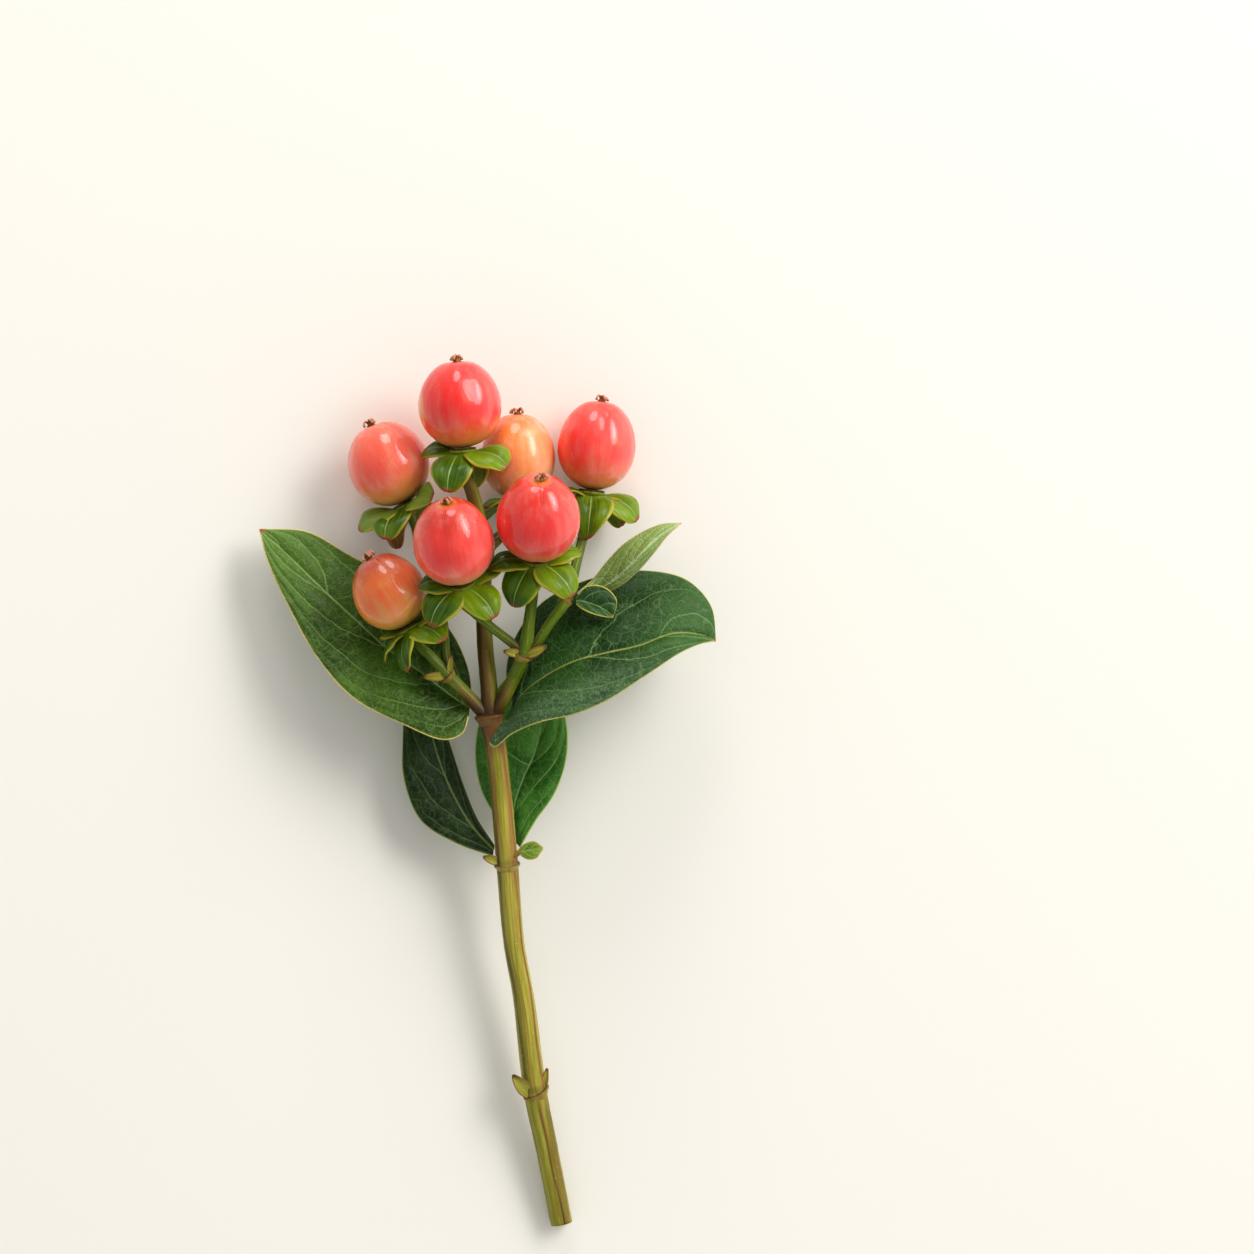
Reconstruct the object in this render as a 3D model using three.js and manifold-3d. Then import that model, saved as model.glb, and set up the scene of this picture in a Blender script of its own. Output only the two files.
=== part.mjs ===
// A cut stem of hypericum berries, lying on a flat surface with its front face up.
// Millimetres. X runs across the stem, +Y from the cut end to the berries, +Z up from the surface.
// The stem rests on three low points: its cut end and the undersides of two berries.

import * as THREE from "three";
import { mergeVertices } from "three/addons/utils/BufferGeometryUtils.js";
import Module from "manifold-3d";

const wasm = await Module();
wasm.setup();

// ---- Driving dimensions -------------------------------------------------------------------------

// Plan position that becomes the part's origin: the middle of the whole stem's outline.
const ORIGIN = new THREE.Vector3(0.241, 0.052, 0);

// Upwards from the surface, and along the stem from cut end to berries.
const UP = new THREE.Vector3(0, 0, 1);
const ALONG = new THREE.Vector3(0, 1, 0);

// Clearance left where one piece meets the next.
const SEAT = 0.3;

// Thickness of leaves and sepals.
const LEAF_THICKNESS = 0.6;
const SEPAL_THICKNESS = 0.6;

// Berry: how much narrower the tip half is than the foot half, and its furrows.
const BERRY_TAPER = 0.05;
const DEEP_FURROW = 0.05;
const SHALLOW_FURROW = 0.022;
const FURROW_WIDTH = 0.24;
const FURROW_CENTRE = 0.85;
const FURROW_REACH = 0.75;
const TIP_DIMPLE = 0.35;
const DIMPLE_SPREAD = 0.3;

// Receptacle: the cone between a berry's stalk and the berry, which carries the five sepals. Its
// profile runs from stalk to rim as [radius, depth below the rim].
const RECEPTACLE_HEIGHT = 2.2;
const RECEPTACLE_PROFILE = [[0, RECEPTACLE_HEIGHT], [0.85, RECEPTACLE_HEIGHT], [1.15, 1.2], [2.3, 0.35],
  [2.3, 0], [0, 0]];

// Berry stalks: the radius they end with, and the length of the straight piece below a receptacle.
const STALK_RADIUS = 0.85;
const STALK_STRAIGHT = 1.4;

// Sepals: root radius, full size, how far the rims fall below the middle and how far it is bowed.
const SEPAL_ROOT = 1.3;
const SEPAL_LENGTH = 7.4;
const SEPAL_WIDTH = 7.0;
const SEPAL_DOME = 0.12;
const SEPAL_BOW = 0.7;

// Crown: the dried styles at a berry's tip, as hooked prongs on a low hub. The hub's profile is
// [radius, height]; a prong's stations are shares of the crown's radius and height and of its own radius.
const CROWN_PRONGS = 5;
const CROWN_RADIUS = 0.85;
const CROWN_HEIGHT = 0.75;
const PRONG_RADIUS = 0.26;
const HUB_PROFILE = [[0, 0], [0.6, 0], [0.45, 0.3], [0, 0.35]];
const PRONG_LINE = [[0.1, 0.2, 1], [0.45, 0.8, 0.9], [0.9, 1, 0.8], [1.15, 0.65, 0.7]];

// Facets: [rows, columns] of a plate, sides round a body, steps between two stations of a tube.
const SEPAL_GRID = [4, 4];
const SCALE_GRID = [4, 2];
const LEAF_COLUMNS = 6;
const LEAF_STEPS = 2;
const BERRY_SIDES = 24;
const BERRY_BANDS = 12;
const STEM_SIDES = 10;
const BRANCH_SIDES = 8;
const TWIG_SIDES = 6;
const STEM_STEPS = 2;
const COLLAR_SIDES = 10;
const RECEPTACLE_SIDES = 10;
const HUB_SIDES = 6;
const PRONG_SIDES = 4;

// Berries. Centre of the berry; lean is the plan direction from foot to tip; rise is the upward tilt
// of the tip in degrees; turn rotates the furrows about the berry's own axis. Each sepal is
// [bearing, spread, twist, size]: bearing round the stalk from the upward side towards the right,
// spread from the stalk's direction outwards and twist about its own length, all in degrees, and its
// size as a share of a full sepal, because hypericum sepals are unequal.
const FRUITS = [
  {
    centre: [-4.2, 62.2, 13.0], lean: [-0.064, 0.998], rise: 4, length: 14.2, width: 13.4, turn: 20,
    sepals: [[-28, 42, -25, 1], [60, 74, 35, 1], [-112, 96, -35, 0.78], [154, 24, 0, 0.84],
      [-158, 60, 0, 0.8]],
  },
  {
    centre: [-15.9, 52.8, 6.51], lean: [-0.408, 0.913], rise: 0, length: 13.8, width: 13.1, turn: 45,
    sepals: [[-82, 92, -35, 1], [-45, 65, -32, 0.95], [-126, 40, 0, 0.9], [38, 92, 45, 0.84],
      [150, 50, 0, 0.8]],
  },
  {
    centre: [5.0, 54.0, 6.15], lean: [-0.01, 1], rise: 0, length: 14.0, width: 12.0, turn: 70,
    sepals: [[-50, 88, 0, 0.75], [40, 34, 0, 0.75], [105, 72, 0, 0.7], [165, 46, 0, 0.8],
      [-120, 70, 0, 0.8]],
  },
  {
    centre: [17.7, 55.8, 6.26], lean: [0.112, 0.994], rise: 0, length: 14.6, width: 12.6, turn: 10,
    sepals: [[4, 32, 45, 1.1], [82, 68, 43, 1], [120, 52, -30, 0.9], [-150, 30, 0, 0.84],
      [-80, 84, 0, 0.8]],
  },
  {
    centre: [-5.0, 40.1, 21.2], lean: [-0.167, 0.986], rise: 28, length: 14.4, width: 13.0, turn: -15,
    sepals: [[-48, 66, -15, 1], [38, 62, 15, 0.95], [-90, 104, -20, 0.75], [118, 94, 0, 0.84],
      [-160, 92, 0, 0.8]],
  },
  {
    centre: [8.5, 43.9, 21.5], lean: [0.071, 0.997], rise: 33, length: 14.6, width: 13.4, turn: 5,
    sepals: [[-32, 40, 0, 1], [52, 68, 10, 1], [-78, 84, 0, 0.85], [108, 100, 0, 0.84],
      [-170, 92, 0, 0.8]],
  },
  {
    centre: [-15.6, 32.2, 13.5], lean: [-0.509, 0.861], rise: 4, length: 12.6, width: 11.8, turn: 30,
    sepals: [[-42, 42, 20, 0.9], [34, 58, 5, 0.9], [-90, 68, 0, 0.75], [80, 91, 30, 0.75],
      [-138, 100, 0, 0.75]],
  },
];

// Woody line of the stem: [x, y, z, radius] from the cut end to the fork.
const MAIN_STEM = [
  [12.0, -69.8, 1.65, 1.75],
  [9.7, -58.0, 3.1, 1.78],
  [7.7, -47.9, 4.3, 1.88],
  [5.9, -33.0, 5.8, 1.68],
  [4.4, -24.4, 6.7, 1.66],
  [3.3, -11.3, 8.1, 1.75],
  [2.2, 1.4, 9.5, 1.66],
  [1.4, 8.4, 10.4, 1.7],
  [0.6, 12.2, 10.9, 1.95],
];

// Branches above the fork, each [x, y, z, radius]. Every branch carries on to the stalk of the berry
// whose number it has.
const BRANCHES = [
  { fruit: 1, sides: BRANCH_SIDES, line: [[0.6, 11.6, 10.9, 1.5], [0.5, 16.0, 10.9, 1.38],
    [-0.2, 24.0, 10.7, 1.3], [-0.4, 33.0, 10.5, 1.22], [0.0, 39.6, 10.6, 1.3], [-1.2, 44.2, 11.0, 1.12],
    [-2.4, 48.6, 11.7, 1.1]] },
  { fruit: 3, sides: TWIG_SIDES, line: [[0.0, 39.4, 10.6, 0.85], [2.2, 41.2, 8.8, 0.8],
    [4.3, 42.6, 6.9, 0.8]] },
  { fruit: 7, sides: BRANCH_SIDES, line: [[0.0, 12.2, 10.9, 1.1], [-3.2, 15.8, 11.6, 1.02],
    [-6.2, 18.9, 12.2, 1.0], [-9.0, 22.0, 12.8, 0.85]] },
  { fruit: 2, sides: TWIG_SIDES, line: [[-6.2, 18.6, 12.1, 0.8], [-6.5, 22.4, 11.2, 0.75],
    [-6.9, 27.4, 9.6, 0.72], [-8.6, 34.4, 8.0, 0.72], [-10.9, 40.2, 6.9, 0.75]] },
  { fruit: 6, sides: BRANCH_SIDES, line: [[1.2, 12.2, 10.9, 1.15], [3.9, 17.2, 12.8, 1.08],
    [6.1, 22.3, 15.0, 1.12], [7.2, 29.2, 15.5, 0.9]] },
  { fruit: 5, sides: TWIG_SIDES, line: [[6.1, 22.2, 14.9, 0.8], [4.2, 23.9, 15.0, 0.76],
    [1.0, 26.4, 14.9, 0.75], [-2.0, 28.9, 14.9, 0.78]] },
  { fruit: 4, sides: TWIG_SIDES, line: [[6.1, 22.2, 14.9, 0.85], [7.9, 23.6, 15.0, 0.82],
    [10.3, 27.2, 14.3, 0.82], [12.8, 30.8, 13.0, 0.95], [14.7, 37.7, 10.0, 0.78], [15.8, 42.2, 7.8, 0.8]] },
];

// Joints of the stem, where leaves and branches leave it: place, radius and half-height of the
// swollen collar, and the direction that the collar's ring faces. The profile is shares of radius and
// half-height.
const COLLAR_PROFILE = [[0, -2.2], [0.66, -2.2], [0.95, -0.5], [1, 0.5], [0.6, 1], [0, 1]];
const COLLARS = [
  { place: [7.75, -48.1, 4.3], radius: 2.3, height: 0.55, facing: [-0.45, 0.88, 0.1] },
  { place: [3.3, -11.4, 8.1], radius: 2.15, height: 0.5, facing: [-0.1, 0.99, 0.1] },
  { place: [0.6, 11.8, 10.9], radius: 2.6, height: 0.8, facing: [-0.1, 0.99, 0.1] },
  { place: [0.0, 39.2, 10.6], radius: 1.65, height: 0.5, facing: [0, 1, 0] },
  { place: [-6.1, 18.7, 12.1], radius: 1.4, height: 0.45, facing: [-0.7, 0.7, 0.1] },
  { place: [6.0, 22.0, 14.9], radius: 1.6, height: 0.5, facing: [0.4, 0.85, 0.3] },
  { place: [12.7, 30.5, 13.1], radius: 1.2, height: 0.4, facing: [0.4, 0.85, -0.3] },
];

// Bracts and leaf scars at the joints: small pointed scales whose roots sit inside the stem.
// Root and tip as [x, y, z], and the width across the middle.
const SCALE_CUP = 0.35;
const SCALES = [
  { root: [6.9, -48.4, 5.2], tip: [4.4, -45.8, 6.2], width: 2.4 },
  { root: [9.0, -47.4, 4.6], tip: [9.9, -44.4, 5.4], width: 1.5 },
  { root: [2.0, -11.2, 8.6], tip: [-0.5, -10.4, 9.0], width: 1.6 },
  { root: [-6.6, 18.6, 12.5], tip: [-10.1, 18.5, 13.0], width: 1.6 },
  { root: [-5.8, 19.0, 12.6], tip: [-5.6, 22.0, 13.6], width: 1.1 },
  { root: [5.4, 22.2, 15.4], tip: [2.9, 22.6, 16.0], width: 1.5 },
  { root: [6.8, 21.9, 15.5], tip: [9.7, 23.4, 16.4], width: 1.6 },
  { root: [0.4, 39.0, 10.9], tip: [2.6, 40.4, 12.0], width: 1.3 },
];

// Leaves. Each is drawn by three ribs of matching stations from its base to its tip, as [x, y, z]:
// the near edge, the midrib and the far edge. Arch is how far each half bulges off its chord.
const LEAVES = {
  leaf_left_upper: {
    arch: 0.5,
    near: [[-2.9, 11.8, 11.5], [-3.7, 9.5, 12.1], [-6.6, 8.4, 12.6], [-13.3, 10.9, 12.6],
      [-21.3, 15.1, 12.0], [-27.4, 22.0, 10.6], [-32.2, 30.5, 8.6], [-35.2, 36.9, 6.8], [-36.7, 42.3, 5.2]],
    midrib: [[-2.7, 13.4, 9.8], [-4.2, 14.4, 9.3], [-6.4, 16.0, 8.8], [-10.4, 19.1, 8.0],
      [-16.2, 23.2, 7.2], [-21.6, 28.1, 6.8], [-26.9, 33.0, 6.4], [-32.2, 38.2, 5.8], [-36.7, 42.3, 5.2]],
    far: [[-2.5, 14.6, 9.2], [-2.5, 17.2, 8.3], [-3.2, 20.6, 7.0], [-5.9, 26.0, 5.0],
      [-10.4, 30.3, 3.8], [-15.6, 34.6, 3.3], [-22.0, 38.0, 3.5], [-28.8, 41.8, 4.4], [-36.7, 42.3, 5.2]],
  },
  leaf_right_upper: {
    arch: 0.6,
    near: [[0.8, 7.6, 15.0], [4.2, 9.8, 17.2], [8.6, 11.3, 19.6], [14.2, 12.6, 20.8],
      [19.8, 15.0, 20.6], [25.1, 18.4, 19.2], [30.7, 22.1, 16.4], [34.2, 23.7, 13.4], [36.8, 24.2, 10.6]],
    midrib: [[4.3, 13.0, 11.6], [6.0, 15.8, 12.8], [9.4, 18.5, 14.0], [14.2, 21.0, 14.8],
      [19.2, 22.3, 15.0], [24.6, 23.5, 14.8], [29.8, 25.4, 13.8], [34.2, 25.2, 12.2], [36.8, 24.2, 10.6]],
    far: [[4.4, 14.6, 9.4], [3.2, 19.3, 8.2], [4.9, 25.4, 7.4], [9.4, 30.8, 7.0],
      [16.6, 34.2, 7.0], [24.0, 35.6, 7.6], [31.9, 34.2, 8.6], [36.0, 29.9, 9.6], [36.8, 24.2, 10.6]],
  },
  leaf_right_lower: {
    arch: 0.4,
    near: [[5.4, -9.0, 7.2], [7.9, -4.7, 6.6], [10.9, -0.4, 6.2], [12.7, 4.7, 5.6],
      [13.0, 9.5, 4.8], [11.5, 16.1, 3.8], [8.3, 22.5, 3.0]],
    midrib: [[5.2, -8.2, 5.6], [4.4, -2.8, 5.1], [5.9, 2.2, 4.8], [7.5, 5.7, 4.4],
      [8.6, 9.6, 3.8], [8.9, 16.1, 3.2], [8.3, 22.5, 3.0]],
    far: [[4.2, -8.3, 5.2], [1.8, -4.7, 4.9], [-1.0, 0.4, 4.8], [-1.9, 6.0, 4.4],
      [-1.0, 11.9, 3.8], [2.6, 17.7, 3.2], [8.3, 22.5, 3.0]],
  },
  leaf_left_lower: {
    arch: 0.4,
    near: [[1.0, -10.4, 7.2], [-5.0, -8.3, 6.4], [-10.6, -4.7, 6.0], [-13.4, 2.0, 5.4],
      [-13.6, 8.4, 4.6], [-13.1, 14.8, 3.6], [-11.4, 20.3, 2.8]],
    midrib: [[1.1, -9.4, 7.0], [-2.2, -5.8, 6.0], [-5.3, -0.7, 5.2], [-7.8, 5.3, 4.4],
      [-9.4, 11.3, 3.7], [-10.6, 16.3, 3.1], [-11.4, 20.3, 2.8]],
    far: [[1.2, -8.6, 6.2], [-1.7, -4.2, 4.2], [-3.8, 0.9, 2.9], [-5.7, 6.6, 2.2],
      [-7.5, 12.0, 2.0], [-9.2, 16.6, 2.2], [-11.4, 20.3, 2.8]],
  },
  leaf_small_front: {
    arch: 0.15, columns: 4,
    near: [[14.4, 30.1, 14.6], [15.4, 29.3, 15.2], [16.9, 28.6, 15.5], [18.7, 28.1, 15.0],
      [20.3, 27.9, 13.9]],
    midrib: [[14.4, 30.6, 14.2], [16.0, 30.4, 14.1], [18.0, 29.7, 14.0], [19.5, 28.8, 13.9],
      [20.3, 27.9, 13.9]],
    far: [[14.5, 31.2, 13.8], [16.2, 33.0, 13.5], [18.9, 32.9, 13.5], [20.9, 30.8, 13.5],
      [20.3, 27.9, 13.9]],
  },
  leaf_small_back: {
    arch: 0.2, columns: 4,
    near: [[14.7, 31.1, 11.6], [17.8, 31.5, 10.9], [21.4, 33.0, 12.0], [24.4, 35.5, 13.2],
      [26.8, 38.2, 13.9], [29.0, 41.0, 13.8], [31.3, 43.1, 13.0]],
    midrib: [[14.6, 31.5, 11.8], [17.5, 32.4, 11.3], [20.8, 34.3, 12.8], [23.2, 36.5, 14.2],
      [25.3, 38.7, 14.8], [28.0, 41.2, 14.2], [31.3, 43.1, 13.0]],
    far: [[14.5, 31.9, 11.6], [16.9, 34.0, 10.9], [19.5, 37.2, 11.6], [22.2, 39.9, 12.6],
      [25.4, 41.9, 12.8], [28.4, 43.0, 12.9], [31.3, 43.1, 13.0]],
  },
  leaf_small_side: {
    arch: 0.1, columns: 4,
    near: [[5.1, -9.9, 9.3], [6.6, -10.8, 9.7], [8.0, -10.6, 9.9], [9.1, -9.2, 9.7]],
    midrib: [[5.1, -9.6, 9.2], [6.5, -9.4, 9.4], [7.8, -9.1, 9.6], [9.1, -9.0, 9.7]],
    far: [[5.0, -9.3, 9.2], [6.3, -8.2, 9.3], [7.8, -7.9, 9.6], [9.1, -8.8, 9.7]],
  },
};

// Share of its ribs at which a leaf ends, so that its tip is a narrow end face and not a point.
const LEAF_BLUNT = 0.975;

// Outline of a pointed oval blade: a root that is not quite closed, the powers with which the width
// rises and falls, and where it closes.
const OVAL_ROOT = 0.09;
const OVAL_RISE = 0.5;
const OVAL_FALL = 0.62;
const OVAL_CLOSE = 1.01;

// ---- Colours --------------------------------------------------------------------------------------

const finish = (color, roughness) => new THREE.MeshStandardMaterial({ color, roughness, metalness: 0 });

const STEM_GREEN = finish(0x7d7f2a, 0.55);
const LEAF_GREEN = finish(0x2f5a28, 0.5);
const SEPAL_GREEN = finish(0x5d8a1f, 0.4);
const CROWN_BROWN = finish(0x5a4020, 0.8);
const BERRY_SKINS = [0xe0504a, 0xe8846a, 0xe8924a, 0xe2504e, 0xe4504a, 0xe6524e, 0xd9704a];

// ---- Closed surfaces ------------------------------------------------------------------------------

const radians = THREE.MathUtils.degToRad;
const vector = (values) => new THREE.Vector3(values[0], values[1], values[2]);
const curveThrough = (stations) => new THREE.CatmullRomCurve3(stations.map(vector), false, "centripetal");

function geometryFrom(points, triangles) {
  const values = points.flatMap((point) => point.toArray());
  const geometry = new THREE.BufferGeometry();
  geometry.setAttribute("position", new THREE.Float32BufferAttribute(values, 3));
  geometry.setIndex(triangles);
  geometry.computeVertexNormals();
  return geometry;
}

// Points of one ring of a tube, at share t of its path. No part of the path runs along reference.
function tubeRing(path, t, radius, sides, reference) {
  const centre = path.getPoint(t);
  const along = path.getTangent(t);
  const side = new THREE.Vector3().crossVectors(along, reference).normalize();
  const over = new THREE.Vector3().crossVectors(along, side);
  return Array.from({ length: sides }, (_, j) => {
    const angle = (2 * Math.PI * j) / sides;
    return centre.clone()
      .addScaledVector(side, radius * Math.cos(angle))
      .addScaledVector(over, radius * Math.sin(angle));
  });
}

// A round tube along stations [x, y, z, radius], with flat ends.
function taperedTube(stations, sides, stepsPerStation, reference = UP) {
  const path = curveThrough(stations);
  const last = stations.length - 1;
  const steps = last * stepsPerStation;
  const points = [];
  for (let i = 0; i <= steps; i++) {
    const t = i / steps;
    const k = Math.min(Math.floor(t * last), last - 1);
    const radius = THREE.MathUtils.lerp(stations[k][3], stations[k + 1][3], t * last - k);
    points.push(...tubeRing(path, t, radius, sides, reference));
  }
  const triangles = [];
  for (let i = 0; i < steps; i++) {
    for (let j = 0; j < sides; j++) {
      const a = i * sides + j;
      const b = i * sides + ((j + 1) % sides);
      triangles.push(a, b, b + sides, a, b + sides, a + sides);
    }
  }
  const end = steps * sides;
  for (let j = 1; j < sides - 1; j++) {
    triangles.push(0, j + 1, j, end, end + j, end + j + 1);
  }
  return geometryFrom(points, triangles);
}

// Grid of points of surface(u, s), where u runs from root to tip and s from -1 to 1 across.
function surfaceGrid(surface, rows, columns) {
  return Array.from({ length: rows + 1 }, (_row, i) =>
    Array.from({ length: columns + 1 }, (_column, j) => surface(i / rows, (2 * j) / columns - 1)));
}

// Indices round the rim of a grid of points, in the order that faces outwards.
function rimOf(rows, columns) {
  const width = columns + 1;
  const rim = [];
  for (let j = 0; j < columns; j++) {
    rim.push(j);
  }
  for (let i = 0; i < rows; i++) {
    rim.push(i * width + columns);
  }
  for (let j = columns; j > 0; j--) {
    rim.push(rows * width + j);
  }
  for (let i = rows; i > 0; i--) {
    rim.push(i * width);
  }
  return rim;
}

// A thin plate round surface(u, s). Both faces are split along the same diagonals.
function plate(surface, [rows, columns], thickness) {
  const middle = surfaceGrid(surface, rows, columns);
  const front = [];
  const back = [];
  for (let i = 0; i <= rows; i++) {
    for (let j = 0; j <= columns; j++) {
      const along = middle[Math.min(i + 1, rows)][j].clone().sub(middle[Math.max(i - 1, 0)][j]);
      const across = middle[i][Math.min(j + 1, columns)].clone().sub(middle[i][Math.max(j - 1, 0)]);
      const normal = across.cross(along).normalize().multiplyScalar(thickness / 2);
      front.push(middle[i][j].clone().add(normal));
      back.push(middle[i][j].clone().sub(normal));
    }
  }
  const width = columns + 1;
  const under = front.length;
  const triangles = [];
  for (let i = 0; i < rows; i++) {
    for (let j = 0; j < columns; j++) {
      const a = i * width + j;
      const [b, c, d] = [a + 1, a + width + 1, a + width];
      triangles.push(a, b, c, a, c, d);
      triangles.push(under + a, under + c, under + b, under + a, under + d, under + c);
    }
  }
  const rim = rimOf(rows, columns);
  rim.forEach((a, k) => {
    const b = rim[(k + 1) % rim.length];
    triangles.push(a, under + a, under + b, a, under + b, b);
  });
  return geometryFrom([...front, ...back], triangles);
}

// Half-width of a pointed oval blade at u, as a share of its widest half-width.
function ovalShare(u) {
  const width = (t) => (t + OVAL_ROOT) ** OVAL_RISE * (OVAL_CLOSE - t) ** OVAL_FALL;
  const widest = (OVAL_RISE * OVAL_CLOSE - OVAL_FALL * OVAL_ROOT) / (OVAL_RISE + OVAL_FALL);
  return width(u) / width(widest);
}

// ---- Joining --------------------------------------------------------------------------------------

function solidOf(geometry) {
  const bare = geometry.clone();
  bare.deleteAttribute("normal");
  bare.deleteAttribute("uv");
  const merged = mergeVertices(bare, 1e-4);
  return new wasm.Manifold(new wasm.Mesh({
    numProp: 3,
    vertProperties: merged.attributes.position.array,
    triVerts: new Uint32Array(merged.index.array),
  }));
}

function fuse(geometries) {
  const whole = geometries.map(solidOf).reduce((joined, next) => joined.add(next));
  const mesh = whole.getMesh();
  const geometry = new THREE.BufferGeometry();
  geometry.setAttribute("position", new THREE.Float32BufferAttribute(mesh.vertProperties, 3));
  geometry.setIndex([...mesh.triVerts]);
  geometry.computeVertexNormals();
  return geometry;
}

// ---- Berries --------------------------------------------------------------------------------------

// Turns +Y to the fruit's axis, with +Z kept on the upward side.
function fruitFrame(fruit) {
  const rise = radians(fruit.rise);
  const lean = new THREE.Vector2(...fruit.lean).normalize().multiplyScalar(Math.cos(rise));
  const axis = new THREE.Vector3(lean.x, lean.y, Math.sin(rise));
  const upward = UP.clone().addScaledVector(axis, -axis.z).normalize();
  const right = new THREE.Vector3().crossVectors(axis, upward);
  return new THREE.Matrix4().makeBasis(right, axis, upward).setPosition(vector(fruit.centre));
}

// Bell curve: 1 at nought, falling away within about one width either side.
const bell = (away, width) => Math.exp(-((away / width) ** 2));

// Depth of the furrows at one place on the berry: three deep ones with three shallow between them,
// fading towards the foot and to nothing at the tip.
function furrowDepth(bearing, fromTip) {
  let depth = 0;
  for (let k = 0; k < 6; k++) {
    const angle = bearing - (k * Math.PI) / 3;
    const away = Math.atan2(Math.sin(angle), Math.cos(angle));
    depth += (k % 2 ? SHALLOW_FURROW : DEEP_FURROW) * bell(away, FURROW_WIDTH);
  }
  return depth * bell(fromTip - FURROW_CENTRE, FURROW_REACH) * Math.sin(fromTip);
}

function berryGeometry(fruit) {
  const geometry = new THREE.SphereGeometry(1, BERRY_SIDES, BERRY_BANDS);
  const position = geometry.attributes.position;
  const point = new THREE.Vector3();
  for (let i = 0; i < position.count; i++) {
    point.fromBufferAttribute(position, i);
    const fromTip = Math.acos(THREE.MathUtils.clamp(point.y, -1, 1));
    const bearing = Math.atan2(point.x, point.z);
    const girth = (1 - BERRY_TAPER * point.y) * (1 - furrowDepth(bearing, fromTip));
    const dimple = TIP_DIMPLE * bell(fromTip, DIMPLE_SPREAD);
    position.setXYZ(
      i,
      (point.x * girth * fruit.width) / 2,
      (point.y * fruit.length) / 2 - dimple,
      (point.z * girth * fruit.width) / 2,
    );
  }
  geometry.computeVertexNormals();
  return geometry;
}

// One sepal: a pointed oval that leaves the receptacle's rim and bends back a little to its tip. Its
// twist is nought at the root and eases to the whole of it at the tip.
function sepalGeometry([bearing, spread, twist, size]) {
  const round = radians(bearing);
  const open = radians(spread);
  const outward = new THREE.Vector3(Math.sin(round), 0, Math.cos(round));
  const along = outward.clone().multiplyScalar(Math.sin(open)).setY(-Math.cos(open));
  const across = new THREE.Vector3().crossVectors(ALONG, outward);
  const face = new THREE.Vector3().crossVectors(along, across).normalize();
  const root = outward.clone().multiplyScalar(SEPAL_ROOT).setY(-SEPAL_THICKNESS);
  const surface = (u, s) => {
    const half = (SEPAL_WIDTH / 2) * size * ovalShare(u);
    const turn = radians(twist) * u * (2 - u);
    const fall = -SEPAL_DOME * half * s * s;
    return root.clone()
      .addScaledVector(along, SEPAL_LENGTH * size * u)
      .addScaledVector(across, half * s * Math.cos(turn) - fall * Math.sin(turn))
      .addScaledVector(face, half * s * Math.sin(turn) + fall * Math.cos(turn))
      .addScaledVector(face, SEPAL_BOW * Math.sin(Math.PI * u));
  };
  return plate(surface, SEPAL_GRID, SEPAL_THICKNESS);
}

function calyxGeometry(fruit) {
  const profile = RECEPTACLE_PROFILE.map(([radius, depth]) => new THREE.Vector2(radius, -depth));
  const cone = new THREE.LatheGeometry(profile, RECEPTACLE_SIDES);
  return fuse([cone, ...fruit.sepals.map(sepalGeometry)]);
}

// One prong: it rises from the hub and hooks outwards.
function prongGeometry(angle) {
  const stations = PRONG_LINE.map(([reach, height, girth]) => [
    CROWN_RADIUS * reach * Math.sin(angle),
    CROWN_HEIGHT * height,
    CROWN_RADIUS * reach * Math.cos(angle),
    PRONG_RADIUS * girth,
  ]);
  return taperedTube(stations, PRONG_SIDES, 1, ALONG);
}

function crownGeometry() {
  const profile = HUB_PROFILE.map(([radius, height]) => new THREE.Vector2(radius, height));
  const parts = [new THREE.LatheGeometry(profile, HUB_SIDES)];
  for (let k = 0; k < CROWN_PRONGS; k++) {
    parts.push(prongGeometry((2 * Math.PI * k) / CROWN_PRONGS));
  }
  return fuse(parts);
}

function fruitGroup(fruit, number) {
  const group = new THREE.Group();
  group.applyMatrix4(fruitFrame(fruit));
  const berry = new THREE.Mesh(berryGeometry(fruit), finish(BERRY_SKINS[number - 1], 0.25));
  berry.name = `berry_${number}`;
  berry.rotation.y = radians(fruit.turn);
  const calyx = new THREE.Mesh(calyxGeometry(fruit), SEPAL_GREEN);
  calyx.name = `calyx_${number}`;
  calyx.position.y = -fruit.length / 2 - SEAT;
  const crown = new THREE.Mesh(crownGeometry(), CROWN_BROWN);
  crown.name = `crown_${number}`;
  crown.position.y = fruit.length / 2 - TIP_DIMPLE + SEAT;
  group.add(berry, calyx, crown);
  return group;
}

// ---- Stem -----------------------------------------------------------------------------------------

// The last two stations of a fruit's stalk: straight along the fruit's axis to its receptacle.
function stalkStations(fruit) {
  const frame = fruitFrame(fruit);
  const foot = -fruit.length / 2 - SEAT - RECEPTACLE_HEIGHT - SEAT;
  return [STALK_STRAIGHT, 0].map((back) => {
    const point = new THREE.Vector3(0, foot - back, 0).applyMatrix4(frame);
    return [...point.toArray(), STALK_RADIUS];
  });
}

function branchGeometry({ fruit, line, sides }) {
  return taperedTube([...line, ...stalkStations(FRUITS[fruit - 1])], sides, STEM_STEPS);
}

function collarGeometry({ place, radius, height, facing }) {
  const profile = COLLAR_PROFILE.map(([out, up]) => new THREE.Vector2(radius * out, height * up));
  const ring = new THREE.LatheGeometry(profile, COLLAR_SIDES);
  const turn = new THREE.Quaternion().setFromUnitVectors(ALONG, vector(facing).normalize());
  return ring.applyQuaternion(turn).translate(...place);
}

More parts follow.
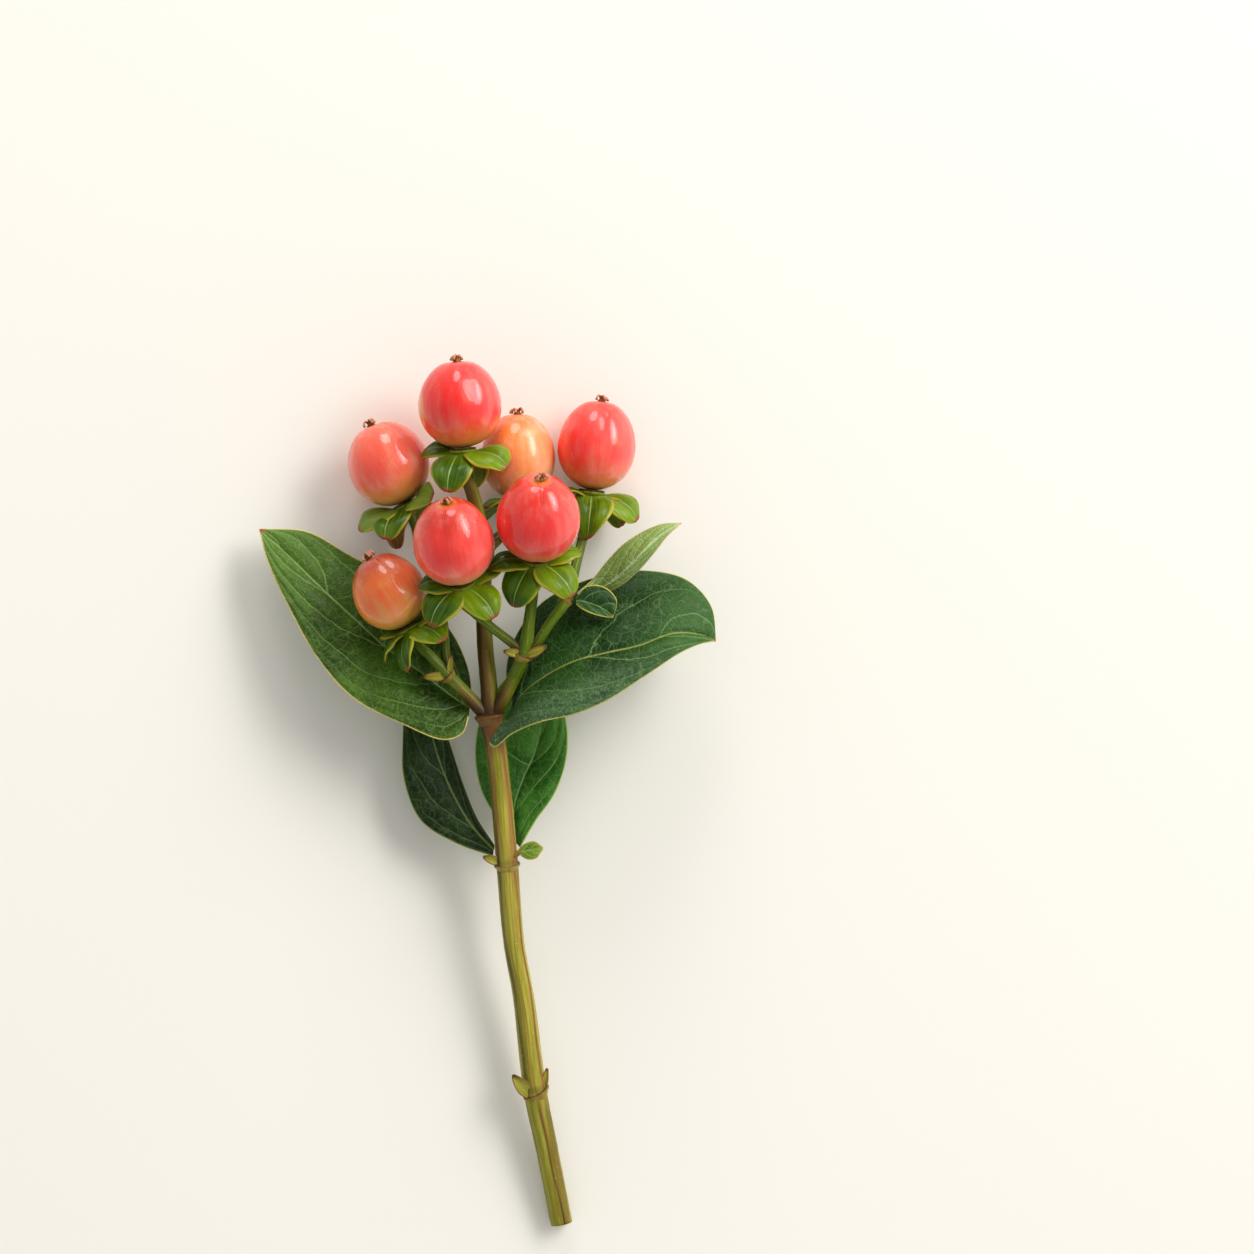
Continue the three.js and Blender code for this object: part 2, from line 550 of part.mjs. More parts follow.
function scaleGeometry({ root, tip, width }) {
  const base = vector(root);
  const along = vector(tip).sub(base);
  const across = new THREE.Vector3().crossVectors(along, UP).normalize();
  const face = new THREE.Vector3().crossVectors(across, along).normalize();
  const surface = (u, s) => {
    const half = (width / 2) * ovalShare(u);
    return base.clone()
      .addScaledVector(along, u)
      .addScaledVector(across, half * s)
      .addScaledVector(face, SCALE_CUP * half * s * s);
  };
  return plate(surface, SCALE_GRID, LEAF_THICKNESS);
}

function stemMesh() {
  const mesh = new THREE.Mesh(fuse([
    taperedTube(MAIN_STEM, STEM_SIDES, STEM_STEPS),
    ...BRANCHES.map(branchGeometry),
    ...COLLARS.map(collarGeometry),
    ...SCALES.map(scaleGeometry),
  ]), STEM_GREEN);
  mesh.name = "stem";
  return mesh;
}

// ---- Leaves ---------------------------------------------------------------------------------------

function leafMesh(name, { near, midrib, far, arch, columns = LEAF_COLUMNS }) {
  const [nearRib, middleRib, farRib] = [near, midrib, far].map(curveThrough);
  const surface = (u, s) => {
    const t = u * LEAF_BLUNT;
    const share = Math.abs(s);
    const point = middleRib.getPoint(t).lerp((s < 0 ? nearRib : farRib).getPoint(t), share);
    point.z += arch * 4 * share * (1 - share) * Math.sin(Math.PI * t);
    return point;
  };
  const rows = (midrib.length - 1) * LEAF_STEPS;
  const mesh = new THREE.Mesh(plate(surface, [rows, columns], LEAF_THICKNESS), LEAF_GREEN);
  mesh.name = name;
  return mesh;
}

// ---- Whole stem -----------------------------------------------------------------------------------

const spray = new THREE.Group();
spray.add(stemMesh());
for (const [name, ribs] of Object.entries(LEAVES)) spray.add(leafMesh(name, ribs));
FRUITS.forEach((fruit, k) => spray.add(fruitGroup(fruit, k + 1)));
spray.position.copy(ORIGIN).negate();

export default spray;
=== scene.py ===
import math

import bpy
import numpy as np
from mathutils import Matrix


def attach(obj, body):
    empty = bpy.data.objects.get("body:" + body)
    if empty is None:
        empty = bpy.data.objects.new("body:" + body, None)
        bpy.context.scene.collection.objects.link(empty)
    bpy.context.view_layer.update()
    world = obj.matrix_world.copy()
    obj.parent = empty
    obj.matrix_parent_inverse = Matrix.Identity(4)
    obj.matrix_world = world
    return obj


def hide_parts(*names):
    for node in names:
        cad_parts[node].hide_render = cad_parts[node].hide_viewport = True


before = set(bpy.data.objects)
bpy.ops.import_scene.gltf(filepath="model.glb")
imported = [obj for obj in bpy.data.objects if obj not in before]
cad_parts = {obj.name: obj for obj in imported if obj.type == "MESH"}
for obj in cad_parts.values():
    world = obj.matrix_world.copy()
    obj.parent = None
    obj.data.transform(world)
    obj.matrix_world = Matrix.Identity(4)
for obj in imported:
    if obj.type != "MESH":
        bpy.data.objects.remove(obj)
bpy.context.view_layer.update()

# A cut hypericum stem that lies on its back. Stations and sizes below are in millimetres in the
# part's own plan; MM and ORIGIN take them into the frame.
MM = 0.001
ORIGIN = np.array([0.241, 0.052, 0.0])
UP = np.array([0.0, 0.0, 1.0])
NORTH = np.array([0.0, 1.0, 0.0])

# ---- Driving dimensions, as in the part ----

# Clear distance between a berry and what sits on it, and between a receptacle and its stalk.
SEAT = 0.3
# Berries: narrowing towards the tip, depths of the furrows as shares of the radius, their width, middle
# and reach in radians, and the dimple at the tip.
BERRY_TAPER, DEEP_FURROW, SHALLOW_FURROW = 0.05, 0.05, 0.022
FURROW_WIDTH, FURROW_CENTRE, FURROW_REACH = 0.24, 0.85, 0.75
TIP_DIMPLE, DIMPLE_SPREAD = 0.35, 0.3
# A profile is pairs of radius and height. The receptacle's heights go down from its rim.
RECEPTACLE_HEIGHT = 2.2
RECEPTACLE_PROFILE = [(0.85, 2.2), (0.98, 1.7), (1.15, 1.2), (1.62, 0.75), (2.2, 0.4), (2.3, 0.15), (2.2, 0)]
STALK_RADIUS, STALK_STRAIGHT = 0.85, 1.4
SEPAL_ROOT, SEPAL_LENGTH, SEPAL_WIDTH = 1.3, 7.4, 7.0
SEPAL_DOME, SEPAL_BOW, SEPAL_DROP = 0.12, 0.7, 0.55
SEPAL_SWELL, SEPAL_CURL, SEPAL_HOOK = 0.42, 0.14, 0.5
OVAL_ROOT, OVAL_RISE, OVAL_FALL, OVAL_CLOSE = 0.09, 0.5, 0.62, 1.01
# Share of its length at which a blade is closed.
BLADE_END = 0.996
CROWN_RADIUS, CROWN_HEIGHT, PRONG_RADIUS = 0.85, 0.75, 0.21
# A prong's line: shares of the crown's radius outwards and of its height upwards.
PRONG_LINE = [(0.15, 0.0), (0.4, 0.8), (0.8, 1.15), (1.2, 0.75), (1.3, 0.1)]
HUB_PROFILE = [(0.3, -0.15), (0.62, -0.1), (0.56, 0.12), (0.36, 0.3), (0.12, 0.34)]
# Shares of the colours laid on the bark.
BARK_FIELDS = ("tan", "purple", "dark", "fresh", "pith")

# Berries: centre, lean of the axis in plan, rise of the tip, length, width, turn of the furrows and of the
# fine seams from them; colours of the shoulder at the tip, the middle, the foot and the unripe patches,
# how much of the skin the patches take and how unripe its left rim is; and each sepal's bearing, spread
# and twist in degrees, its size and, where it is withered, how rusty it is.
FRUITS = [
    dict(centre=(-4.2, 62.2, 13.0), lean=(-0.064, 0.998), rise=4, length=14.2, width=13.4, turn=20, seam=-36,
         slot="berry_red", skin=("#e22420", "#f22822", "#e88a40", "#e8a458", 0.2, 0.9),
         sepals=((-28, 42, -25, 1), (60, 74, 35, 1), (-112, 96, -35, 0.78), (154, 24, 0, 0.84),
                 (-158, 60, 0, 0.8))),
    dict(centre=(-15.9, 52.8, 6.51), lean=(-0.408, 0.913), rise=0, length=13.8, width=13.1, turn=45,
         slot="berry_salmon", skin=("#f4664c", "#fa664c", "#f0b860", "#f6b47c", 0.45),
         sepals=((-82, 92, -35, 1), (-45, 65, -32, 0.95), (-126, 40, 0, 0.9, 0.8), (38, 92, 45, 0.84),
                 (150, 50, 0, 0.8))),
    dict(centre=(5.0, 54.0, 6.15), lean=(-0.01, 1.0), rise=0, length=14.0, width=12.0, turn=70,
         slot="berry_orange", skin=("#f07228", "#fa9a4c", "#f0c064", "#fac48c", 0.8),
         sepals=((-50, 88, 0, 0.75), (40, 34, 0, 0.75), (105, 72, 0, 0.7), (165, 46, 0, 0.8),
                 (-120, 70, 0, 0.8))),
    dict(centre=(17.7, 55.8, 6.26), lean=(0.112, 0.994), rise=0, length=14.6, width=12.6, turn=10,
         slot="berry_red", skin=("#ee3226", "#fc443a", "#f08c58", "#f6a064", 0.25),
         sepals=((4, 32, 45, 1.1), (82, 68, 43, 1), (120, 52, -30, 0.9), (-150, 30, 0, 0.84),
                 (-80, 84, 0, 0.8))),
    dict(centre=(-5.0, 40.1, 21.2), lean=(-0.167, 0.986), rise=28, length=14.4, width=13.0, turn=-15,
         slot="berry_red", skin=("#cc2c14", "#f63c30", "#f09a76", "#f49a78", 0.25),
         sepals=((-48, 66, -15, 1), (38, 62, 15, 0.95), (-90, 104, -20, 0.75), (118, 94, 0, 0.84),
                 (-160, 92, 0, 0.8))),
    dict(centre=(8.5, 43.9, 21.5), lean=(0.071, 0.997), rise=33, length=14.6, width=13.4, turn=5,
         slot="berry_red", skin=("#de2c1a", "#f0302a", "#dc7456", "#f09a84", 0.22),
         sepals=((-32, 40, 0, 1), (52, 68, 10, 1), (-78, 84, 0, 0.85), (108, 100, 0, 0.84),
                 (-170, 92, 0, 0.8))),
    dict(centre=(-15.6, 32.2, 13.5), lean=(-0.509, 0.861), rise=4, length=12.6, width=11.8, turn=30,
         slot="berry_salmon", skin=("#a83204", "#e8762c", "#dca44c", "#deb038", 0.6),
         sepals=((-42, 42, 20, 0.9), (34, 58, 5, 0.9), (-90, 68, 0, 0.75), (80, 91, 30, 0.75),
                 (-138, 100, 0, 0.75))),
]

# Woody line from the cut end to the fork: x, y, z, radius. Then the branches above it: the berry, the
# length over which the branch stays purple-brown above its joint, and its line.
MAIN_STEM = [
    (12.0, -69.8, 1.65, 1.75), (9.7, -58.0, 3.1, 1.78), (7.7, -47.9, 4.3, 1.88), (5.9, -33.0, 5.8, 1.68),
    (4.4, -24.4, 6.7, 1.66), (3.3, -11.3, 8.1, 1.75), (2.2, 1.4, 9.5, 1.66), (1.4, 8.4, 10.4, 1.7),
    (0.6, 12.2, 10.9, 1.95),
]
BRANCHES = [
    (1, 60.0, [(0.6, 11.6, 10.9, 1.5), (0.5, 16.0, 10.9, 1.38), (-0.2, 24.0, 10.7, 1.3),
        (-0.4, 33.0, 10.5, 1.22), (0.0, 39.6, 10.6, 1.3), (-1.2, 44.2, 11.0, 1.12),
        (-2.4, 48.6, 11.7, 1.1)]),
    (3, 3.0, [(0.0, 39.4, 10.6, 0.85), (2.2, 41.2, 8.8, 0.8), (4.3, 42.6, 6.9, 0.8)]),
    (7, 9.0, [(0.0, 12.2, 10.9, 1.1), (-3.2, 15.8, 11.6, 1.02), (-6.2, 18.9, 12.2, 1.0),
        (-9.0, 22.0, 12.8, 0.85)]),
    (2, 2.5, [(-6.2, 18.6, 12.1, 0.8), (-6.5, 22.4, 11.2, 0.75), (-6.9, 27.4, 9.6, 0.72),
        (-8.6, 34.4, 8.0, 0.72), (-10.9, 40.2, 6.9, 0.75)]),
    (6, 9.0, [(1.2, 12.2, 10.9, 1.15), (3.9, 17.2, 12.8, 1.08), (6.1, 22.3, 15.0, 1.12),
        (7.2, 29.2, 15.5, 0.9)]),
    (5, 2.5, [(6.1, 22.2, 14.9, 0.8), (4.2, 23.9, 15.0, 0.76), (1.0, 26.4, 14.9, 0.75),
        (-2.0, 28.9, 14.9, 0.78)]),
    (4, 2.5, [(6.1, 22.2, 14.9, 0.85), (7.9, 23.6, 15.0, 0.82), (10.3, 27.2, 14.3, 0.82),
        (12.8, 30.8, 13.0, 0.95), (14.7, 37.7, 10.0, 0.78), (15.8, 42.2, 7.8, 0.8)]),
]

# Swollen joints: place, radius, half-height, facing, how far the upper side sags towards the cut end,
# and how ruddy the joint is.
COLLARS = [
    ((7.75, -48.1, 4.3), 2.3, 0.55, (-0.45, 0.88, 0.1), 0.9, 0.35),
    ((3.3, -11.4, 8.1), 2.15, 0.5, (-0.1, 0.99, 0.1), 0.8, 0.15),
    ((0.6, 11.9, 10.9), 2.45, 0.8, (-0.1, 0.98, 0.12), -0.25, 1.0),
    ((0.0, 39.2, 10.6), 1.65, 0.5, (0.0, 1.0, 0.0), 0.2, 0.4),
    ((-6.1, 18.7, 12.1), 1.4, 0.45, (-0.7, 0.7, 0.1), 0.2, 0.5),
    ((6.0, 22.0, 14.9), 1.6, 0.5, (0.4, 0.85, 0.3), 0.2, 0.3),
    ((12.7, 30.5, 13.1), 1.2, 0.4, (0.4, 0.85, -0.3), 0.1, 0.3),
]
# Radius as a share of the ring's, and length from its middle as a share of its half-height.
COLLAR_PROFILE = [
    (0.3, -4.0), (0.43, -3.2), (0.55, -2.4), (0.67, -1.7), (0.79, -1.0), (0.91, -0.4), (0.99, 0.0),
    (1.0, 0.3), (0.92, 0.55), (0.7, 0.75), (0.4, 0.8),
]

# Bracts and leaf scars: root, tip, width.
SCALES = [
    ((6.9, -48.8, 5.3), (4.2, -45.6, 6.3), 2.5), ((9.1, -47.8, 4.6), (9.7, -44.6, 5.4), 1.2),
    ((2.0, -11.2, 8.6), (-0.5, -10.4, 9.0), 1.6),
    ((-6.6, 18.6, 12.5), (-10.1, 18.5, 13.0), 1.6), ((-5.8, 19.0, 12.6), (-5.6, 22.0, 13.6), 1.1),
    ((5.4, 22.2, 15.4), (2.9, 22.6, 16.0), 1.5), ((6.8, 21.9, 15.5), (9.7, 23.4, 16.4), 1.6),
    ((0.4, 39.0, 10.9), (2.6, 40.4, 12.0), 1.3),
]
SCALE_CUP, SCALE_BEND = 0.2, 0.35
PETIOLE = [(4.2, -10.4, 8.9), (4.7, -10.1, 9.1), (5.3, -9.7, 9.25), (5.7, -9.6, 9.3)]

# Leaves: colours of the body, its dark shade, veins, midrib and rim, the lighter shade towards the tip, and
# the colour of the painted sheen; rows and columns, how far the halves bulge, steps of side veins in a half,
# how they sweep forward, height of the rim's waves, shares of painted sheen and of painted shade on the far
# half; then the near rib, midrib and far rib. The pace takes shares of the leaf's length to shares of its
# near rib.
LEAVES = {
    "leaf_left_upper": (("#3c6006", "#1a3400", "#7a9a50", "#8ea660", "#dcc470", "#628634", "#6a8c3a"), dict(
        grid=(150, 90), arch=0.5, veins=5.0, sweep=3.4, wave=0.22, sheen=0.5, far_half_shade=0.8,
        near=[(-2.9, 11.8, 11.5), (-3.7, 9.5, 12.1), (-6.6, 8.4, 12.6), (-13.3, 10.9, 12.6),
            (-21.3, 15.1, 12.0), (-27.4, 22.0, 10.6), (-32.2, 30.5, 8.6), (-35.2, 36.9, 6.8),
            (-36.7, 42.3, 5.2)],
        midrib=[(-2.7, 13.4, 9.8), (-4.2, 14.4, 9.3), (-6.4, 16.0, 8.8), (-10.4, 19.1, 8.0),
            (-16.2, 23.2, 7.2), (-21.6, 28.1, 6.8), (-26.9, 33.0, 6.4), (-32.2, 38.2, 5.8),
            (-36.7, 42.3, 5.2)],
        far=[(-2.5, 14.6, 9.2), (-2.5, 17.2, 8.3), (-3.2, 20.6, 7.0), (-5.9, 26.0, 5.0), (-10.4, 30.3, 3.8),
            (-15.6, 34.6, 3.3), (-22.0, 38.0, 3.5), (-28.8, 41.8, 4.4), (-36.7, 42.3, 5.2)])),
    "leaf_right_upper": (("#264e18", "#0e3006", "#68864e", "#989c48", "#b8b058", "#3e6c2a"), dict(
        grid=(150, 90), arch=0.6, veins=3.6, wave=0.15, sheen=1.0, far_half_shade=0.65,
        near_pace=((0, 0.125, 1), (0, 0.3, 1)),
        near=[(1.6, 9.1, 14.4), (0.6, 8.0, 14.9), (1.4, 7.3, 15.6), (4.2, 9.4, 17.2), (8.6, 11.3, 19.6),
            (14.2, 12.6, 20.8), (19.8, 15.0, 20.6), (25.1, 18.4, 19.2), (30.7, 22.1, 16.4),
            (34.2, 23.7, 13.4), (36.8, 24.2, 10.6)],
        midrib=[(4.3, 13.0, 11.6), (6.0, 15.8, 12.8), (9.4, 18.5, 14.0), (14.2, 21.0, 14.8),
            (19.2, 22.3, 15.0), (24.6, 23.5, 14.8), (29.8, 25.4, 13.8), (34.2, 25.2, 12.2),
            (36.8, 24.2, 10.6)],
        far=[(4.4, 14.6, 9.4), (3.2, 19.3, 8.2), (4.9, 25.4, 7.4), (9.4, 30.8, 7.0), (16.6, 34.2, 7.0),
            (24.0, 35.6, 7.6), (31.9, 34.2, 8.6), (36.0, 29.9, 9.6), (36.8, 24.2, 10.6)])),
    "leaf_right_lower": (("#468426", "#22560c", "#7aa056", "#92b46c", "#a8bc5c", "#5a9638"), dict(
        grid=(110, 70), arch=0.4, veins=3.8, sweep=3.2, wave=0.2,
        near=[(5.4, -9.0, 7.2), (7.9, -4.7, 6.6), (10.9, -0.4, 6.2), (12.7, 4.7, 5.6), (13.0, 9.5, 4.8),
            (11.5, 16.1, 3.8), (8.3, 22.5, 3.0)],
        midrib=[(5.2, -8.2, 5.6), (4.4, -2.8, 5.1), (5.9, 2.2, 4.8), (7.5, 5.7, 4.4), (8.6, 9.6, 3.8),
            (8.9, 16.1, 3.2), (8.3, 22.5, 3.0)],
        far=[(4.2, -8.3, 5.2), (1.8, -4.7, 4.9), (-1.0, 0.4, 4.8), (-1.9, 6.0, 4.4), (-1.0, 11.9, 3.8),
            (2.6, 17.7, 3.2), (8.3, 22.5, 3.0)])),
    "leaf_left_lower": (("#20380e", "#0e2404", "#586f40", "#7c9454", "#a0a858", "#304e20"), dict(
        grid=(110, 70), arch=0.4, veins=3.8, sweep=3.2, wave=0.2,
        near=[(1.0, -10.4, 7.2), (-5.0, -8.3, 6.4), (-10.6, -4.7, 6.0), (-13.4, 2.0, 5.4),
            (-13.6, 8.4, 4.6), (-13.1, 14.8, 3.6), (-11.4, 20.3, 2.8)],
        midrib=[(1.1, -9.4, 7.0), (-2.2, -5.8, 6.0), (-5.3, -0.7, 5.2), (-7.8, 5.3, 4.4), (-9.4, 11.3, 3.7),
            (-10.6, 16.3, 3.1), (-11.4, 20.3, 2.8)],
        far=[(1.2, -8.6, 6.2), (-1.7, -4.2, 4.2), (-3.8, 0.9, 2.9), (-5.7, 6.6, 2.2), (-7.5, 12.0, 2.0),
            (-9.2, 16.6, 2.2), (-11.4, 20.3, 2.8)])),
    "leaf_small_front": (("#2a5018", "#14380c", "#56744a", "#8ca868", "#ccbc50", "#345c20"), dict(
        grid=(50, 36), arch=0.15, veins=3.0,
        near=[(14.4, 30.1, 14.6), (15.4, 29.3, 15.2), (16.9, 28.6, 15.5), (18.7, 28.1, 15.0),
            (20.3, 27.9, 13.9)],
        midrib=[(14.4, 30.6, 14.2), (16.0, 30.4, 14.1), (18.0, 29.7, 14.0), (19.5, 28.8, 13.9),
            (20.3, 27.9, 13.9)],
        far=[(14.5, 31.2, 13.8), (16.2, 33.0, 13.5), (18.9, 32.9, 13.5), (20.9, 30.8, 13.5),
            (20.3, 27.9, 13.9)])),
    "leaf_small_back": (("#8ea65c", "#72903e", "#a4b880", "#bcc898", "#dcb478", "#849e50"), dict(
        grid=(80, 40), arch=0.2, veins=5.0,
        near=[(14.7, 31.1, 11.6), (17.8, 31.5, 10.9), (21.4, 33.0, 12.0), (24.4, 35.5, 13.2),
            (26.8, 38.2, 13.9), (29.0, 41.0, 13.8), (31.3, 43.1, 13.0)],
        midrib=[(14.6, 31.5, 11.8), (17.5, 32.4, 11.3), (20.8, 34.3, 12.8), (23.2, 36.5, 14.2),
            (25.3, 38.7, 14.8), (28.0, 41.2, 14.2), (31.3, 43.1, 13.0)],
        far=[(14.5, 31.9, 11.6), (16.9, 34.0, 10.9), (19.5, 37.2, 11.6), (22.2, 39.9, 12.6),
            (25.4, 41.9, 12.8), (28.4, 43.0, 12.9), (31.3, 43.1, 13.0)])),
    "leaf_small_side": (("#76982a", "#52741a", "#90aa48", "#a8bc68", "#c0a848", "#8aa834"), dict(
        grid=(30, 20), arch=0.1, veins=3.0,
        near=[(5.1, -9.9, 9.3), (6.6, -10.8, 9.7), (8.0, -10.6, 9.9), (9.1, -9.2, 9.7)],
        midrib=[(5.1, -9.6, 9.2), (6.5, -9.4, 9.4), (7.8, -9.1, 9.6), (9.1, -9.0, 9.7)],
        far=[(5.0, -9.3, 9.2), (6.3, -8.2, 9.3), (7.8, -7.9, 9.6), (9.1, -8.8, 9.7)])),
}

# ---- Curves and closed surfaces ----

TURN = 2 * math.pi
SMALL_STEP = 1e-3


def bell(away, width):
    """Bell curve: e to the minus square of away over width."""
    return np.exp(-((away / width) ** 2))


def hump(share):
    """Half sine: 0 at shares 0 and 1, and 1 halfway between."""
    return np.sin(math.pi * share)


def ease(low, high, value):
    """Smooth step: 0 below low, 1 above high, and the cubic 3t2 - 2t3 between them."""
    t = np.clip((value - low) / (high - low), 0, 1)
    return t * t * (3 - 2 * t)


def unit(directions):
    """Directions divided by their lengths."""
    return directions / np.linalg.norm(directions, axis=-1, keepdims=True)


def vectors(*parts):
    """Vectors with the given components, each spread to their common shape."""
    return np.stack(np.broadcast_arrays(*parts), axis=-1)


def circle(columns):
    """Evenly spaced angles of one turn."""
    return np.linspace(0, TURN, columns, endpoint=False)


def ripple(points, size, seed):
    """Soft noise from -1 to 1: the mean of six sine waves in seeded directions, about size apart."""
    draw = np.random.default_rng(seed)
    waves = 6
    total = 0
    for _ in range(waves):
        direction = draw.normal(size=3)
        direction *= TURN / (size * np.linalg.norm(direction)) * draw.uniform(0.7, 1.4)
        total = total + np.sin(points @ direction + draw.uniform(0, TURN))
    return total / waves


def spline(stations, t):
    """Centripetal Catmull-Rom curve: a cubic between stations, with end slopes that come from the
    square roots of the distances between the four stations about it. A station is mirrored beyond
    each end."""
    points = np.asarray(stations, float)
    points = np.vstack([2 * points[0] - points[1], points, 2 * points[-1] - points[-2]])
    last = len(points) - 3
    place = np.clip(np.asarray(t, float), 0, 1) * last
    k = np.minimum(place.astype(int), last - 1)
    w = (place - k)[..., None]
    p0, p1, p2, p3 = (points[k + j] for j in range(4))
    steps = ((p0, p1), (p1, p2), (p2, p3))
    d0, d1, d2 = (np.linalg.norm(b - a, axis=-1, keepdims=True) ** 0.5 for a, b in steps)
    s1 = ((p1 - p0) / d0 - (p2 - p0) / (d0 + d1) + (p2 - p1) / d1) * d1
    s2 = ((p2 - p1) / d1 - (p3 - p1) / (d1 + d2) + (p3 - p2) / d2) * d1
    return p1 + w * (s1 + w * (3 * (p2 - p1) - 2 * s1 - s2 + w * (2 * (p1 - p2) + s1 + s2)))


def ring_shell(rings, **fields):
    """A closed surface from rings of points, capped at both ends with fans to the end rings' middles.
    Fields have numbers or vectors that are spread over the points, and a middle takes its ring's mean."""
    n, m = rings.shape[:2]
    points = np.concatenate([rings.reshape(-1, 3), rings[:1].mean(axis=1), rings[-1:].mean(axis=1)])
    j = np.arange(m)
    following = (j + 1) % m
    start = np.arange(n - 1)[:, None] * m
    quads = vectors(start + j, start + following, start + m + following, start + m + j).reshape(-1, 4)
    first = vectors(n * m, following, j)
    last = vectors(n * m + 1, (n - 1) * m + j, (n - 1) * m + following)
    fans = np.concatenate([first, last])
    a, b, c, d = (points[quads[:, k]] for k in range(4))
    e, f, g = (points[fans[:, k]] for k in range(3))
    corners = ((a, b, c), (a, c, d), (e, f, g))
    if sum(np.einsum("ij,ij->", p, np.cross(q, r)) for p, q, r in corners) < 0:
        quads, fans = quads[:, ::-1], fans[:, ::-1]
    spread = {}
    for name, values in fields.items():
        values = np.broadcast_to(values, (n, m) + np.shape(values)[2:])
        flat = values.reshape((n * m,) + values.shape[2:])
        spread[name] = np.concatenate([flat, values[:1].mean(axis=1), values[-1:].mean(axis=1)])
    return dict(points=points, quads=quads, fans=fans, fields=spread)


def new_object(name, data):
    """An object in the scene, at the origin and unturned."""
    made = bpy.data.objects.new(name, data)
    bpy.context.scene.collection.objects.link(made)
    return made


def put_together(name, shells, finish, node):
    """One mesh object of several shells, in metres, that rides on the part and stands for a node. The
    first shell names the fields that the mesh gets."""
    offsets = np.cumsum([0] + [len(s["points"]) for s in shells[:-1]])
    points = (np.concatenate([s["points"] for s in shells]) - ORIGIN) * MM
    quads = np.concatenate([s["quads"] + o for s, o in zip(shells, offsets)])
    fans = np.concatenate([s["fans"] + o for s, o in zip(shells, offsets)])
    mesh = bpy.data.meshes.new(name)
    mesh.from_pydata(points, [], quads.tolist() + fans.tolist(), shade_flat=False)
    for field, sample in shells[0]["fields"].items():
        kind, key = ("FLOAT_VECTOR", "vector") if sample.ndim == 2 else ("FLOAT", "value")
        values = np.concatenate([s["fields"][field] for s in shells]).astype(np.float32)
        mesh.attributes.new(field, kind, "POINT").data.foreach_set(key, values.ravel())
    mesh.materials.append(finish)
    piece = new_object(name, mesh)
    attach(piece, "root")
    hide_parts(node)


# ---- Finishes ----


def paint(code):
    """Linear colour of a display colour code."""
    values = [int(code[k:k + 2], 16) / 255 for k in (1, 3, 5)]
    return tuple(v / 12.92 if v <= 0.04045 else ((v + 0.055) / 1.055) ** 2.4 for v in values) + (1.0,)


class Signal:
    """An output socket of a material's nodes that takes part in Python arithmetic."""

    def __init__(self, tree, socket=None):
        self.tree = tree
        self.socket = socket

    def node(self, kind, settings=None, sockets=None, output=0):
        """Adds a node: its settings are made first, then its sockets are filled or linked."""
        made = self.tree.nodes.new("ShaderNode" + kind)
        for name, value in (settings or {}).items():
            setattr(made, name, value)
        for name, value in (sockets or {}).items():
            if isinstance(value, Signal):
                self.tree.links.new(value.socket, made.inputs[name])
            else:
                made.inputs[name].default_value = value
        return Signal(self.tree, made.outputs[output])

    def math(self, operation, *values):
        return self.node("Math", {"operation": operation}, dict(enumerate(values)))

    def vector_math(self, operation, *values):
        return self.node("VectorMath", {"operation": operation}, dict(enumerate(values)))

    def __add__(self, other):
        return self.math("ADD", self, other)

    def __sub__(self, other):
        return self.math("SUBTRACT", self, other)

    def __rsub__(self, other):
        return self.math("SUBTRACT", other, self)

    def __mul__(self, other):
        return self.math("MULTIPLY", self, other)

    def __truediv__(self, other):
        return self.math("DIVIDE", self, other)

    def __abs__(self):
        return self.math("ABSOLUTE", self)

    __radd__ = __add__
    __rmul__ = __mul__

    def rise(self, low, high):
        """Smooth step from 0 at low to 1 at high."""
        return self.node("MapRange", {"interpolation_type": "SMOOTHSTEP"},
                         {"Value": self, "From Min": low, "From Max": high})

    def fall(self, low, high):
        """Smooth step from 1 at low to 0 at high."""
        return 1 - self.rise(low, high)

    def off_half(self):
        """Distance of the signal from the nearest whole number and half."""
        return abs(self.math("FRACT", self) - 0.5)

    def numbers(self, *names):
        """Number fields of the mesh."""
        return [self.node("Attribute", {"attribute_name": name}, None, 2) for name in names]

    def vector(self, name):
        """A vector field of the mesh."""
        return self.node("Attribute", {"attribute_name": name}, None, 1)

    def object_place(self):
        """The place on the piece, in metres."""
        return self.node("TexCoord", None, None, 3)

    def parts(self):
        """X, Y and Z of a vector signal."""
        return [self.node("SeparateXYZ", None, {"Vector": self}, k) for k in range(3)]

    def stretched(self, x, y, z):
        """The vector signal multiplied by a number on each axis."""
        return self.vector_math("MULTIPLY", self, (x, y, z))

    def moved(self, x, y, z):
        """The vector signal with a number added on each axis."""
        return self.vector_math("ADD", self, (x, y, z))

    def noise(self, scale, detail=2.0, roughness=0.5, output=0):
        """Noise from 0 to 1 over the vector signal: output 0 is a number and 1 a vector."""
        return self.node("TexNoise", None, {
            "Vector": self, "Scale": scale, "Detail": detail, "Roughness": roughness}, output)

    def stirred(self, scale, amount):
        """The vector signal moved about by half of amount at most, with noise of the scale given."""
        sway = self.noise(scale, output=1).moved(-0.5, -0.5, -0.5).stretched(amount, amount, amount)
        return self.vector_math("ADD", self, sway)

    def net(self, scale):
        """Distance to the nearest wall of a net of cells over the vector signal."""
        return self.node("TexVoronoi", {"feature": "DISTANCE_TO_EDGE"}, {"Vector": self, "Scale": scale})

    def between(self, first, second):
        """Colour that goes from first to second as the signal goes from 0 to 1."""
        first, second = (paint(colour) if isinstance(colour, str) else colour for colour in (first, second))
        return self.node("Mix", {"data_type": "RGBA"}, {0: self, 6: first, 7: second}, 2)

    def coated(self, *coats):
        """This colour under coats of others, each given after the share of it that shows."""
        colour = self
        for share, coat in coats:
            colour = share.between(colour, coat)
        return colour


